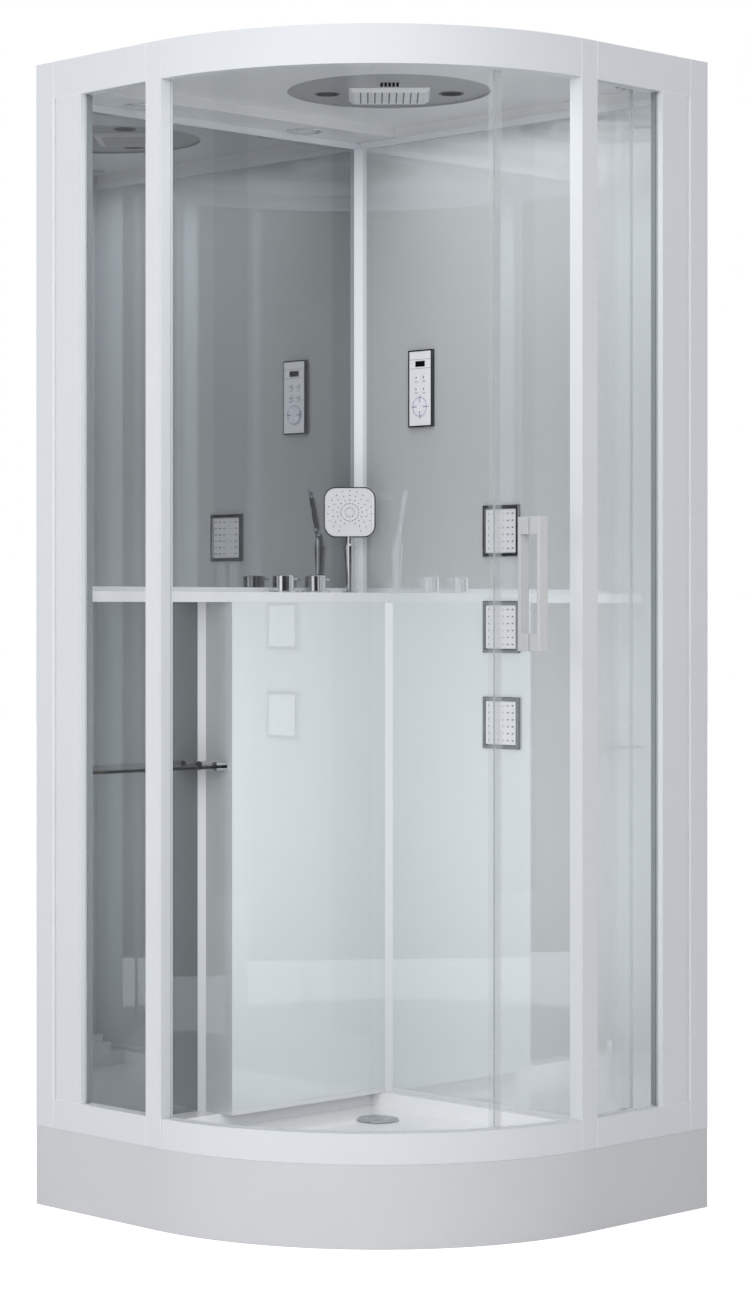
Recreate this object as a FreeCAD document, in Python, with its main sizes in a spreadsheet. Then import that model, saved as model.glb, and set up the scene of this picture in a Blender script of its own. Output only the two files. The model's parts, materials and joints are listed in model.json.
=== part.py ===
import FreeCAD, Part
import Sketcher
import os
import re

# Quadrant steam and shower cabin, millimetres, +Z up.
# The footprint is a square with one corner rounded off. The two walls meet in the back corner,
# the curved door front looks to +X -Y. The origin is on the floor under the footprint's centre.
# u runs from the back corner along the right wall (model +X), v along the left wall (model -Y).

SIZES = {
    # footprint and heights
    "width": 900,
    "straight": 340,
    "height": 2165,
    "apron_high": 150,
    "cut_over": 5,
    "view_angle": 45,
    # tray
    "apron_thick": 4,
    "apron_gap": 0.3,
    "rim_drop": 18,
    "basin_drop": 46,
    "tray_floor": 12,
    "basin_back": 62,
    "basin_side": 160,
    "basin_front": 90,
    "lip_wide": 55,
    "lip_start_angle": -46,
    "lip_angle": 123,
    # support frame and feet
    "tube": 30,
    "tube_first": 40,
    "tube_short": 220,
    "foot_radius": 24,
    "foot_pad": 12,
    "foot_stem": 6,
    # drain
    "drain_u": 212,
    "drain_v": 192,
    "drain_hole": 34,
    "trap_radius": 48,
    "trap_high": 76,
    "trap_wall": 3,
    "outlet_radius": 20,
    "outlet_rise": 24,
    "outlet_end": 12,
    "outlet_boss": 56,
    "boss_radius": 24,
    "cover_radius": 43,
    "cover_thick": 5,
    "cover_stem": 27,
    "cover_stem_deep": 20,
    # aluminium front frame
    "rail_deep": 30,
    "bottom_rail_high": 55,
    "top_rail_high": 70,
    "profile_wide": 49.5,
    "bevel_wide": 11.2,
    "bevel_back": 4,
    "stile_wide": 72,
    "post_flat": 22.8,
    "post_wide": 42.5,
    "post_deep": 30,
    "profile_wall": 2,
    "profile_cap": 3,
    "glass_back": 11.6,
    "pane": 5,
    "groove_deep": 6,
    "glass_fit": 0.3,
    "seal_wide": 5,
    "seal_lip": 3,
    "curve_glass_back": 18.4,
    "half_open_angle": 42.8,
    "pane_fit_angle": 0.3,
    "strike_angle": 1,
    # tracks
    "track_web": 5,
    "track_rise": 23,
    "track_lip_high": 6,
    "track_high": 32,
    "track_start_angle": -43,
    "track_angle": 118,
    "guide_base": 3,
    "guide_wall": 3,
    "guide_high": 18,
    "guide_back": 10,
    # door
    "door_back": 36,
    "door_pane": 6,
    "door_overlap": 20,
    "door_track_gap": 3,
    "door_lead_angle": 24.8,
    "door_angle": 43.6,
    "seal_lead_angle": 2.5,
    "seal_nose_angle": 1,
    "seal_skin": 1.2,
    "seal_air": 0.2,
    "trail_angle": 1,
    "roller_lead_angle": 29,
    "roller_trail_angle": 64,
    "roller_radius": 10,
    "roller_wide": 5,
    "roller_bore": 3.05,
    "axle_radius": 3,
    "hanger_wide": 28,
    "hanger_thick": 5,
    "hanger_over": 13,
    "hanger_above": 9.7,
    "hanger_pad": 11,
    "roller_gap": 0.3,
    "glide_high": 41,
    "glide_hole": 6.5,
    "bolt_radius": 3,
    "screw_air": 0.1,
    "seat_gap": 0.3,
    "roller_side": 0.8,
    "track_air": 0.5,
    "seal_end": 2,
    "seal_fit_angle": 0.05,
    "trail_nose_angle": 0.4,
    "glide_gap": 3,
    "glide_thick": 5.5,
    # handles
    "handle_angle": 33.7,
    "handle_low": 1055,
    "handle_long": 243,
    "handle_wide": 20,
    "handle_thick": 8,
    "handle_reach": 30,
    "handle_end": 32,
    "screw_radius": 4,
    # walls
    "left_wall": 6,
    "wall_glass": 5,
    "right_wall": 42,
    "wall_side": 45,
    "wall_drop": 60.3,
    "corner_post": 30,
    "corner_wall": 3,
    "corner_trim": 13,
    "strip_high": 14,
    "strip_thick": 8,
    "strip_low": 10,
    # ledge and column
    "ledge_top": 1165,
    "ledge_high": 20,
    "ledge_deep": 95.5,
    "column_wide": 483,
    "trim_wide": 12,
    "trim_thick": 2,
    "skirt_high": 10,
    # shelf
    "shelf_under": 818,
    "shelf_thick": 6,
    "shelf_inset": 1,
    "clip_radius": 9,
    "clip_long": 16,
    "clip_near": 30,
    "clip_far": 75,
    # valves and knobs
    "fitting_u": 50,
    "mixer_v": 300,
    "diverter_v": 210,
    "valve_radius": 22,
    "valve_neck": 15,
    "valve_bottom": 1075,
    "spindle_radius": 5,
    "spindle_fit": 0.06,
    "spindle_deep": 30,
    "knob_radius": 21.5,
    "knob_high": 31.5,
    "knob_edge": 1.5,
    "knob_gap": 0.3,
    "lever_radius": 2.2,
    "lever_long": 17,
    "lever_high": 24,
    "flange_radius": 31.5,
    "flange_thick": 3,
    "manifold_half": 12,
    "manifold_low": 1083,
    "manifold_high": 24,
    "inlet_radius": 10.5,
    "inlet_high": 1095,
    "inlet_spacing": 150,
    "inlet_back": 2,
    "inlet_long": 32,
    "collar_radius": 14,
    # hand shower
    "hand_v": 111,
    "socket_radius": 17,
    "socket_tube": 12,
    "spigot_radius": 8,
    "spigot_deep": 35,
    "grip_low_radius": 8.5,
    "grip_top_radius": 13.2,
    "grip_long": 92,
    "neck_radius": 7,
    "neck_long": 22,
    "head_high": 105,
    "head_wide": 107,
    "head_thick": 13,
    "head_corner": 25,
    "head_tilt_angle": 9,
    "head_forward": 4,
    "head_face": 3,
    "head_rim": 2.5,
    "head_centre": 1332.7,
    # body jets
    "jet_u": 416,
    "jet_low": 904,
    "jet_pitch": 191.5,
    "jet_size": 104,
    "jet_frame": 8.5,
    "jet_proud": 8,
    "jet_plate_thick": 5,
    "jet_fit": 0.2,
    "jet_body_radius": 32,
    "jet_body_deep": 26,
    "jet_nut_radius": 41,
    "jet_nut_thick": 8,
    "jet_hole": 33,
    # control panel
    "panel_u": 193,
    "panel_low": 1504,
    "panel_wide": 67,
    "panel_high": 158,
    "panel_proud": 9,
    "panel_rim": 3,
    "panel_plug": 10,
    "panel_plug_deep": 20,
    "panel_face_back": 1,
    "panel_floor": 2,
    "panel_face_thick": 3,
    "key_size": 12,
    "key_half_gap": 11,
    "key_row_top": 57,
    "key_row_low": 81,
    "key_fit": 0.3,
    "key_proud": 1.2,
    "key_travel": 1,
    "dial_radius": 21,
    "dial_drop": 116.5,
    # roof
    "soffit_deep": 116,
    "ceiling_rise": 19,
    "roof_skin": 4,
    "roof_back": 52,
    "roof_rise": 28,
    "roof_corner": 200,
    "roof_side": 75,
    "roof_side_gap": 5,
    "roof_wall": 36,
    "recess_shift_u": 26,
    "recess_shift_v": 75,
    "recess_radius": 195,
    "recess_deep": 4,
    "rain_back_u": 37.5,
    "rain_back_v": 38.5,
    "rain_size": 156,
    "rain_plate": 136,
    "rain_drop": 8,
    "rain_plate_drop": 1.5,
    "rain_pipe": 12,
    "vent_ahead_u": 41.5,
    "vent_ahead_v": 40.5,
    "vent_slot_wide": 4.5,
    "vent_slot_long": 44,
    "vent_slot_pitch": 7.6,
    "fan_radius": 28,
    "fan_wall": 3,
    "fan_high": 22,
    "fan_hub": 8,
    "fan_shaft": 2.5,
    "fan_gap": 2,
    "fan_blade": 1.6,
    "blade_count": 7,
    "blade_first_angle": 1,
    "speaker_back_u": 33,
    "speaker_back_v": 34,
    "speaker_spread": 85,
    "speaker_radius": 29,
    "speaker_thick": 3,
    "speaker_magnet": 18,
    "speaker_deep": 14,
    "light_u": 52,
    "light_near": 244,
    "light_back": 173,
    "light_radius": 37,
    "light_ring": 7,
    "light_proud": 3,
    "light_can": 26,
    "light_can_high": 24,
}

os.makedirs("parts", exist_ok=True)
doc = FreeCAD.newDocument("ShowerCabin")
sheet = doc.addObject("Spreadsheet::Sheet", "Dims")
for row, (alias, value) in enumerate(SIZES.items(), start=1):
    sheet.set("A%d" % row, alias)
    sheet.set("B%d" % row, str(value))
    sheet.setAlias("B%d" % row, alias)
doc.recompute()

# Names that stand for sums of sizes: places that several pieces share.
PLACES = {
    "half": "width / 2",
    "arc_radius": "width - straight",
    "rail_inner": "arc_radius - rail_deep",
    "rim_top": "apron_high - rim_drop",
    "basin_floor": "apron_high - basin_drop",
    "tray_under": "basin_floor - tray_floor",
    "basin_reach": "width - basin_side",
    "basin_radius": "arc_radius - basin_front",
    "lip_inner": "arc_radius - lip_wide",
    "tube_last": "width - tube_first",
    "tube_mid_last": "width - tube_short",
    "trap_bottom": "tray_under - trap_high",
    "outlet_high": "trap_bottom + outlet_rise",
    "boss_end": "drain_v - outlet_boss",
    "inlet_collar": "inlet_back + inlet_long",
    "post_from": "straight - post_flat",
    "bottom_rail_top": "apron_high + bottom_rail_high",
    "top_rail_low": "height - top_rail_high",
    "stile_from": "profile_wide + bevel_wide",
    "stile_to": "stile_from + stile_wide",
    "door_radius": "arc_radius - door_back",
    "door_bottom": "bottom_rail_top - door_overlap",
    "track_foot": "top_rail_low + track_rise",
    "track_head": "track_foot + track_high",
    "door_top": "track_foot - door_track_gap",
    "hanger_foot": "door_top - hanger_over",
    "hanger_head": "axle_high + hanger_above",
    "guide_inner": "door_inner - guide_back",
    "glide_foot": "apron_high + guide_base + glide_gap",
    "door_outer": "door_radius + door_pane / 2",
    "door_inner": "door_radius - door_pane / 2",
    "hanger_outer": "door_inner - glide_thick",
    "hanger_inner": "hanger_outer - hanger_thick",
    "axle_high": "track_foot + track_lip_high + roller_radius + roller_gap",
    "curve_glass": "arc_radius - curve_glass_back",
    "wall_end": "width - wall_side",
    "wall_top": "height - wall_drop",
    "soffit_under": "wall_top + seat_gap",
    "ceiling_under": "soffit_under + ceiling_rise",
    "roof_top": "ceiling_under + roof_rise",
    "roof_radius": "arc_radius - roof_back",
    "roof_reach": "width - roof_corner",
    "roof_side_end": "wall_end - roof_side_gap",
    "recess_u": "half - recess_shift_u",
    "recess_v": "half - recess_shift_v",
    "rain_u": "recess_u - rain_back_u",
    "rain_v": "recess_v - rain_back_v",
    "vent_u": "recess_u + vent_ahead_u",
    "vent_v": "recess_v + vent_ahead_v",
    "speaker_u": "recess_u - speaker_back_u",
    "speaker_v": "recess_v - speaker_back_v",
    "light_far": "wall_end - light_back",
    "ledge_under": "ledge_top - ledge_high",
    "column_face": "ledge_deep - wall_glass",
    "column_side": "column_wide - wall_glass",
    "knob_low": "ledge_top + flange_thick + knob_gap",
    "axle_tip": "hanger_outer + roller_wide + 2 * roller_side",
    "spindle_low": "ledge_under - spindle_deep",
    "ceiling_top": "ceiling_under + roof_skin",
    "jet_back": "right_wall - wall_glass",
    "recess_under": "ceiling_under + recess_deep",
    "recess_top": "recess_under + roof_skin",
    "panel_top": "panel_low + panel_high",
    "panel_face_front": "right_wall + panel_proud - panel_face_back",
    "panel_face_rear": "panel_face_front - panel_face_thick",
}

NODES = []


def expand(text):
    """Writes an expression with every place worked out and every size read from the sheet."""
    def word(match):
        name = match.group()
        if name in PLACES:
            return "(" + expand(PLACES[name]) + ")"
        return "Dims." + name if name in SIZES else name
    return re.sub(r"[a-z_]+", word, str(text))


def bind(piece, prop, text):
    piece.setExpression(prop, expand(text))


def minus(high, low):
    return "(%s) - (%s)" % (high, low)


def place(piece, u, v, z):
    """Puts a piece's own origin at u, v, z of the cabin."""
    bind(piece, "Placement.Base.x", minus(u, "half"))
    bind(piece, "Placement.Base.y", minus("half", v))
    bind(piece, "Placement.Base.z", z)


def turn(piece, axis, angle):
    piece.Placement = FreeCAD.Placement(piece.Placement.Base, FreeCAD.Rotation(axis, 1))
    bind(piece, "Placement.Rotation.Angle", angle)


Z_AXIS = FreeCAD.Vector(0, 0, 1)
X_AXIS = FreeCAD.Vector(1, 0, 0)
Y_AXIS = FreeCAD.Vector(0, 1, 0)


def block(u, v, z):
    """A box between two values of u, v and z."""
    piece = doc.addObject("Part::Box", "Block")
    bind(piece, "Length", minus(u[1], u[0]))
    bind(piece, "Width", minus(v[1], v[0]))
    bind(piece, "Height", minus(z[1], z[0]))
    place(piece, u[0], v[1], z[0])
    return piece


def upright(u, v, radius, z):
    """A round bar along Z."""
    piece = doc.addObject("Part::Cylinder", "Round")
    bind(piece, "Radius", radius)
    bind(piece, "Height", minus(z[1], z[0]))
    place(piece, u, v, z[0])
    return piece


def level_u(u, v, z, radius):
    """A round bar along u, between two values of u."""
    piece = doc.addObject("Part::Cylinder", "RoundU")
    bind(piece, "Radius", radius)
    bind(piece, "Height", minus(u[1], u[0]))
    turn(piece, Y_AXIS, "90")
    place(piece, u[0], v, z)
    return piece


def level_v(u, v, z, radius):
    """A round bar along v, between two values of v."""
    piece = doc.addObject("Part::Cylinder", "RoundV")
    bind(piece, "Radius", radius)
    bind(piece, "Height", minus(v[1], v[0]))
    turn(piece, X_AXIS, "90")
    place(piece, u, v[0], z)
    return piece


def fuse(*pieces):
    piece = doc.addObject("Part::MultiFuse", "Joined")
    piece.Shapes = list(pieces)
    return piece


def cut(base, *tools):
    piece = doc.addObject("Part::Cut", "Cutout")
    piece.Base = base
    piece.Tool = tools[0] if len(tools) == 1 else fuse(*tools)
    return piece


def common(*pieces):
    piece = doc.addObject("Part::MultiCommon", "Overlap")
    piece.Shapes = list(pieces)
    return piece


def group(*pieces):
    """Separate solids that are alike and share one node."""
    piece = doc.addObject("Part::Compound", "Set")
    piece.Links = list(pieces)
    return piece


def sector(radius, z, start, angle):
    """A slice of a round plate about the front arc's centre. Angles count from the cabin's
    diagonal, positive towards the right wall."""
    piece = doc.addObject("Part::Cylinder", "Slice")
    bind(piece, "Radius", radius)
    bind(piece, "Height", minus(z[1], z[0]))
    bind(piece, "Angle", angle)
    turn(piece, Z_AXIS, "(%s) - view_angle + 360" % start)
    place(piece, "straight", "straight", z[0])
    return piece


def band(inner, outer, z, start, angle):
    """A curved wall about the front arc's centre."""
    core = doc.addObject("Part::Cylinder", "Core")
    bind(core, "Radius", inner)
    bind(core, "Height", minus(z[1], z[0]) + " + 2 * cut_over")
    place(core, "straight", "straight", minus(z[0], "cut_over"))
    return cut(sector(outer, z, start, angle), core)


def face(side, along, depth, z):
    """A block on a straight front face: along counts from the wall, depth inward from the face."""
    inward = (minus("width", depth[1]), minus("width", depth[0]))
    return block(inward, along, z) if side == "right" else block(along, inward, z)


def outline(inset, z, back="0"):
    """The footprint's full plate, drawn in from its front by inset and from its walls by back."""
    edge = minus("width", inset)
    return fuse(
        block((back, edge), (back, "straight"), z),
        block((back, "straight"), (back, edge), z),
        sector(minus("arc_radius", inset), z, *FULL_ARC),
    )


def at_angle(piece, radius, angle, z):
    """Turns a piece drawn with +X outward to an angle on the arc, at a radius from its centre."""
    swing = "(%s) - view_angle" % angle
    turn(piece, Z_AXIS, swing + " + 360")
    bind(piece, "Placement.Base.x", "straight - half + (%s) * cos((%s) * 1deg)" % (radius, swing))
    bind(piece, "Placement.Base.y", "half - straight + (%s) * sin((%s) * 1deg)" % (radius, swing))
    bind(piece, "Placement.Base.z", z)
    return piece


def arc_block(radius, angle, wide, z):
    """A straight block set square to the arc at an angle, between two radii."""
    raw = doc.addObject("Part::Box", "Raw")
    bind(raw, "Length", minus(radius[1], radius[0]))
    bind(raw, "Width", wide)
    bind(raw, "Height", minus(z[1], z[0]))
    bind(raw, "Placement.Base.y", "-(%s) / 2" % wide)
    return at_angle(group(raw), radius[0], angle, z[0])


def arc_rod(radius, angle, thick, z, shift="0"):
    """A round bar that points outward from the arc's centre, between two radii."""
    raw = doc.addObject("Part::Cylinder", "Raw")
    bind(raw, "Radius", thick)
    bind(raw, "Height", minus(radius[1], radius[0]))
    turn(raw, Y_AXIS, "90")
    bind(raw, "Placement.Base.y", shift)
    return at_angle(group(raw), radius[0], angle, z)


def number(text):
    return float(sheet.evalExpression(expand(text)))


def turned(points, u, v, z):
    """A body of revolution about Z: a closed outline of (radius, height) corners."""
    body = doc.addObject("PartDesign::Body", "Turned")
    sketch = body.newObject("Sketcher::SketchObject", "Profile")
    plane = [f for f in body.Origin.OriginFeatures if f.Role == "XZ_Plane"][0]
    sketch.AttachmentSupport = [(plane, "")]
    sketch.MapMode = "FlatFace"
    corners = [FreeCAD.Vector(number(r), number(h), 0) for r, h in points]
    count = len(corners)
    for i in range(count):
        sketch.addGeometry(Part.LineSegment(corners[i], corners[(i + 1) % count]), False)
    for i in range(count):
        sketch.addConstraint(Sketcher.Constraint("Coincident", i, 2, (i + 1) % count, 1))
    for i, (radius, high) in enumerate(points):
        at_x = sketch.addConstraint(Sketcher.Constraint("DistanceX", -1, 1, i, 1, corners[i].x))
        at_y = sketch.addConstraint(Sketcher.Constraint("DistanceY", -1, 1, i, 1, corners[i].y))
        bind(sketch, "Constraints[%d]" % at_x, radius)
        bind(sketch, "Constraints[%d]" % at_y, high)
    spin = body.newObject("PartDesign::Revolution", "Spin")
    spin.Profile = sketch
    spin.ReferenceAxis = (sketch, ["V_Axis"])
    body.Tip = spin
    place(body, u, v, z)
    return body


def slab(wide, high, corner, thick):
    """A plate with rounded corners, centred on its own origin, facing +X."""
    across = doc.addObject("Part::Box", "Across")
    upward = doc.addObject("Part::Box", "Upward")
    inner_wide = "(%s) - 2 * (%s)" % (wide, corner)
    inner_high = "(%s) - 2 * (%s)" % (high, corner)
    for piece, y_size, z_size in ((across, wide, inner_high), (upward, inner_wide, high)):
        bind(piece, "Length", thick)
        bind(piece, "Width", y_size)
        bind(piece, "Height", z_size)
        bind(piece, "Placement.Base.y", "-(%s) / 2" % y_size)
        bind(piece, "Placement.Base.z", "-(%s) / 2" % z_size)
    rounds = []
    for side in ("-1", "1"):
        for level in ("-1", "1"):
            piece = doc.addObject("Part::Cylinder", "Corner")
            bind(piece, "Radius", corner)
            bind(piece, "Height", thick)
            turn(piece, Y_AXIS, "90")
            bind(piece, "Placement.Base.y", "%s * (%s) / 2" % (side, inner_wide))
            bind(piece, "Placement.Base.z", "%s * (%s) / 2" % (level, inner_high))
            rounds.append(piece)
    return fuse(across, upward, *rounds)


def keep(name, piece):
    """Names a finished piece, which becomes a node."""
    piece.Label = name
    NODES.append(piece)
    return piece


SIDES = ("left", "right")
FULL_ARC = ("-view_angle", "2 * view_angle")
KEY_PLACES = [("-1", "key_row_top"), ("1", "key_row_top"), ("-1", "key_row_low"), ("1", "key_row_low")]
SLOT_STEPS = range(-2, 3)

# Heights of the holes through the door leaf: its hangers, its glides and its handles' screws.
BOLT_HIGH = "hanger_foot + hanger_pad / 2"
STUD_HIGH = "door_bottom + glide_hole"
SCREW_HIGHS = ("handle_low + handle_end / 2", "handle_low + handle_long - handle_end / 2")


def tray():
    plate = outline("apron_thick + apron_gap", ("tray_under", "rim_top"))
    lip_z = ("rim_top", "apron_high")
    lips = [
        face(side, ("0", "straight"), ("apron_thick + apron_gap", "rail_deep"), lip_z)
        for side in SIDES
    ]
    lips.append(band("lip_inner", "arc_radius - apron_thick - apron_gap", lip_z, *FULL_ARC))
    lips.append(band("lip_inner", "rail_inner", lip_z, "lip_start_angle", "lip_angle"))
    basin_z = ("basin_floor", "apron_high + cut_over")
    basin = fuse(
        block(("basin_back", "basin_reach"), ("basin_back", "straight"), basin_z),
        block(("basin_back", "straight"), ("basin_back", "basin_reach"), basin_z),
        sector("basin_radius", basin_z, *FULL_ARC),
    )
    hole = upright("drain_u", "drain_v", "drain_hole", z_over(("tray_under", "basin_floor")))
    keep("tray", cut(fuse(plate, *lips), basin, hole))


def tray_apron():
    skirt = ("0", "apron_high")
    hollow = ("-cut_over", "apron_high + cut_over")
    shell = cut(outline("0", skirt), outline("apron_thick", hollow, "-cut_over"))
    keep("tray_apron", shell)


def tray_frame():
    """Welded square tubes under the tray."""
    z = ("tray_under - tube", "tray_under")
    long_way = ("tube_first", "tube_last")
    first = ("tube_first", "tube_first + tube")
    middle = ("half - tube / 2", "half + tube / 2")
    short_way = ("tube_first", "tube_mid_last")
    tubes = fuse(
        block(long_way, first, z),
        block(first, long_way, z),
        block(short_way, middle, z),
        block(middle, short_way, z),
    )
    keep("tray_frame", tubes)


def foot(u, v):
    return turned(
        [
            ("0", "0"),
            ("foot_radius", "0"),
            ("foot_radius", "foot_pad / 2"),
            ("foot_radius / 2", "foot_pad"),
            ("foot_stem", "foot_pad"),
            ("foot_stem", "tray_under - tube"),
            ("0", "tray_under - tube"),
        ],
        u, v, "0",
    )


def tray_feet():
    near = "tube_first + tube / 2"
    far = "tube_last - tube / 2"
    places = [(near, near), (far, near), (near, far), (near, "half"), ("half", near)]
    places.append(("half", "half"))
    keep("tray_feet", group(*[foot(u, v) for u, v in places]))


def drain():
    """The waste: a trap with a side boss, the outlet pipe that runs back from it, and its cover."""
    outer = upright("drain_u", "drain_v", "trap_radius", ("trap_bottom", "tray_under"))
    inner_z = ("trap_bottom + trap_wall", "tray_under + cut_over")
    inner = upright("drain_u", "drain_v", "trap_radius - trap_wall", inner_z)
    boss = level_v("drain_u", ("boss_end", "drain_v"), "outlet_high", "boss_radius")
    bore_v = ("boss_end - cut_over", "drain_v")
    bore = level_v("drain_u", bore_v, "outlet_high", "outlet_radius - trap_wall")
    keep("drain_trap", cut(fuse(outer, boss), inner, bore))
    pipe_v = ("outlet_end", "boss_end")
    pipe = level_v("drain_u", pipe_v, "outlet_high", "outlet_radius")
    pipe_bore = level_v("drain_u", z_over(pipe_v), "outlet_high", "outlet_radius - trap_wall")
    keep("waste_pipe", cut(pipe, pipe_bore))
    cover = turned(
        [
            ("0", "0"),
            ("cover_radius - cover_thick", "0"),
            ("cover_radius", "cover_thick / 2"),
            ("cover_radius - cover_thick / 2", "cover_thick"),
            ("0", "cover_thick + cover_thick / 5"),
        ],
        "drain_u", "drain_v", "basin_floor",
    )
    stem_z = ("basin_floor - cover_stem_deep", "basin_floor + cover_thick / 2")
    keep("drain_cover", fuse(cover, upright("drain_u", "drain_v", "cover_stem", stem_z)))


def rail(name, z, grooves, hollow):
    """The rails under and over the glass, hollow sections: one curved, one on each straight side."""
    curved = band("rail_inner", "arc_radius", z, "-half_open_angle", "2 * half_open_angle")
    slot = band(
        "curve_glass - pane - glass_fit", "curve_glass + glass_fit", grooves,
        "-view_angle", "view_angle + strike_angle",
    )
    core = band("rail_inner + profile_wall", "arc_radius - profile_wall", hollow, *FULL_ARC)
    keep(name + "_rail_curved", cut(curved, slot, core))
    straight = []
    for side in SIDES:
        body = face(side, ("profile_wide", "post_from"), ("0", "rail_deep"), z)
        depth = ("glass_back - glass_fit", "glass_back + pane + glass_fit")
        channel = face(side, ("stile_to - groove_deep", "post_from + cut_over"), depth, grooves)
        core_along = ("profile_wide - cut_over", "post_from + cut_over")
        core = face(side, core_along, ("profile_wall", "rail_deep - profile_wall"), hollow)
        straight.append(cut(body, channel, core))
    keep(name + "_rails_side", group(*straight))


def rails():
    low = ("apron_high", "bottom_rail_top")
    high = ("top_rail_low", "height")
    low_groove = ("bottom_rail_top - groove_deep", "bottom_rail_top + cut_over")
    high_groove = ("top_rail_low - cut_over", "top_rail_low + groove_deep")
    rail("bottom", low, low_groove, ("apron_high + profile_wall", low_groove[0] + " - profile_wall"))
    rail("top", high, high_groove, (high_groove[1] + " + profile_wall", "height - profile_wall"))


def profiles():
    """The upright extrusions. Each is a hollow section, capped at its top."""
    full = ("apron_high", "height")
    full_core = ("apron_high - cut_over", "height - profile_cap")
    middle = ("bottom_rail_top", "top_rail_low")
    middle_core = ("bottom_rail_top - cut_over", "top_rail_low - profile_cap")
    walls, stiles, posts = [], [], []
    for side in SIDES:
        wall = face(side, ("0", "profile_wide"), ("0", "wall_side"), full)
        wall_along = ("profile_wall", "profile_wide - profile_wall")
        wall_core = face(side, wall_along, ("profile_wall", "wall_side - profile_wall"), full_core)
        walls.append(cut(wall, wall_core))
        body = face(side, ("stile_from", "stile_to"), ("0", "rail_deep"), middle)
        bevel = face(side, ("profile_wide", "stile_from"), ("bevel_back", "rail_deep"), middle)
        depth = ("glass_back - glass_fit", "glass_back + pane + glass_fit")
        slot = face(side, ("stile_to - groove_deep", "stile_to + cut_over"), depth, middle)
        stile_along = ("profile_wide + profile_wall", "stile_to - groove_deep - profile_wall")
        stile_deep = ("bevel_back + profile_wall", "rail_deep - profile_wall")
        stiles.append(cut(fuse(body, bevel), slot, face(side, stile_along, stile_deep, middle_core)))
        post = face(side, ("post_from", "straight"), ("0", "post_deep"), full)
        turned_on = ("straight - cut_over", "post_from + post_wide")
        turn_in = face(side, turned_on, ("0", "post_deep"), full)
        pane_z = ("bottom_rail_top - groove_deep", "top_rail_low + groove_deep")
        slot = face(side, ("post_from - cut_over", "post_from + groove_deep"), depth, pane_z)
        post_along = ("post_from + groove_deep + profile_wall", "post_from + post_wide - profile_wall")
        post_core_deep = ("profile_wall", "post_deep - profile_wall")
        posts.append(cut(fuse(post, turn_in), slot, face(side, post_along, post_core_deep, full_core)))
    keep("wall_profiles", group(*walls))
    keep("stiles", group(*stiles))
    keep("posts", group(*posts))


def fixed_glazing():
    """The two flat panes, the curved pane on the left of the door and their rubber seals."""
    along = ("stile_to - groove_deep + glass_fit", "post_from + groove_deep - glass_fit")
    depth = ("glass_back", "glass_back + pane")
    z = ("bottom_rail_top - groove_deep + glass_fit", "top_rail_low + groove_deep - glass_fit")
    keep("fixed_glasses", group(*[face(side, along, depth, z) for side in SIDES]))
    curve_span = ("-half_open_angle + pane_fit_angle", "half_open_angle - pane_fit_angle")
    curved = band("curve_glass - pane", "curve_glass", z, *curve_span)
    keep("curved_glass_fixed", curved)
    between = ("bottom_rail_top", "top_rail_low")
    behind = ("glass_back + pane", "glass_back + pane + seal_wide")
    seals = []
    for side in SIDES:
        seals.append(face(side, ("stile_to", "stile_to + seal_lip"), behind, between))
        seals.append(face(side, ("post_from - seal_lip", "post_from"), behind, between))
    keep("glazing_seals", group(*seals))


def tracks():
    """The upper track is an L: a web on the rail's inner face and a lip that the rollers run on."""
    run = ("track_start_angle", "track_angle")
    web = band("rail_inner - track_web", "rail_inner", ("track_foot", "track_head"), *run)
    lip_z = ("track_foot", "track_foot + track_lip_high")
    lip = band("hanger_outer + track_air", "rail_inner - track_web", lip_z, *run)
    keep("upper_track", fuse(web, lip))
    base_z = ("apron_high", "apron_high + guide_base")
    base = band("guide_inner", "rail_inner", base_z, *run)
    wall_z = ("apron_high", "apron_high + guide_high")
    wall = band("guide_inner", "guide_inner + guide_wall", wall_z, *run)
    keep("lower_track", fuse(base, wall))


def door_leaf():
    z = ("door_bottom", "door_top")
    leaf = band("door_inner", "door_outer", z, "door_lead_angle", "door_angle")
    through = z_over(("door_inner", "door_outer"))
    holes = [
        arc_rod(through, at, "bolt_radius", high)
        for at in ("roller_lead_angle", "roller_trail_angle")
        for high in (BOLT_HIGH, STUD_HIGH)
    ]
    holes += [arc_rod(through, "handle_angle", "screw_radius", high) for high in SCREW_HIGHS]
    keep("door_glass", cut(leaf, *holes))


def door_seals():
    """Clear plastic strips clipped over the leaf's upright edges."""
    rear = "door_lead_angle + door_angle"
    edge_strip(
        "door_lead_seal",
        ("door_lead_angle - seal_nose_angle", "seal_lead_angle"),
        ("door_lead_angle - seal_fit_angle", "seal_lead_angle"),
    )
    edge_strip(
        "door_trail_seal",
        (rear + " - trail_angle", "trail_angle + trail_nose_angle"),
        (rear + " - 2 * trail_angle", "2 * trail_angle + seal_fit_angle"),
    )


def edge_strip(name, outside, inside):
    """A U-shaped strip along the leaf's edge; outside and inside are a start angle and a span."""
    z = ("door_bottom + seal_end", "door_top - seal_end")
    skin = ("door_inner - seal_air - seal_skin", "door_outer + seal_air + seal_skin")
    room = ("door_inner - seal_air", "door_outer + seal_air")
    outer = band(skin[0], skin[1], z, outside[0], outside[1])
    hollow = band(room[0], room[1], z_over(z), inside[0], inside[1])
    keep(name, cut(outer, hollow))


def z_over(z):
    """The same span, run past both ends so that a cut goes right through."""
    return (minus(z[0], "cut_over"), "(%s) + cut_over" % z[1])


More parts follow.
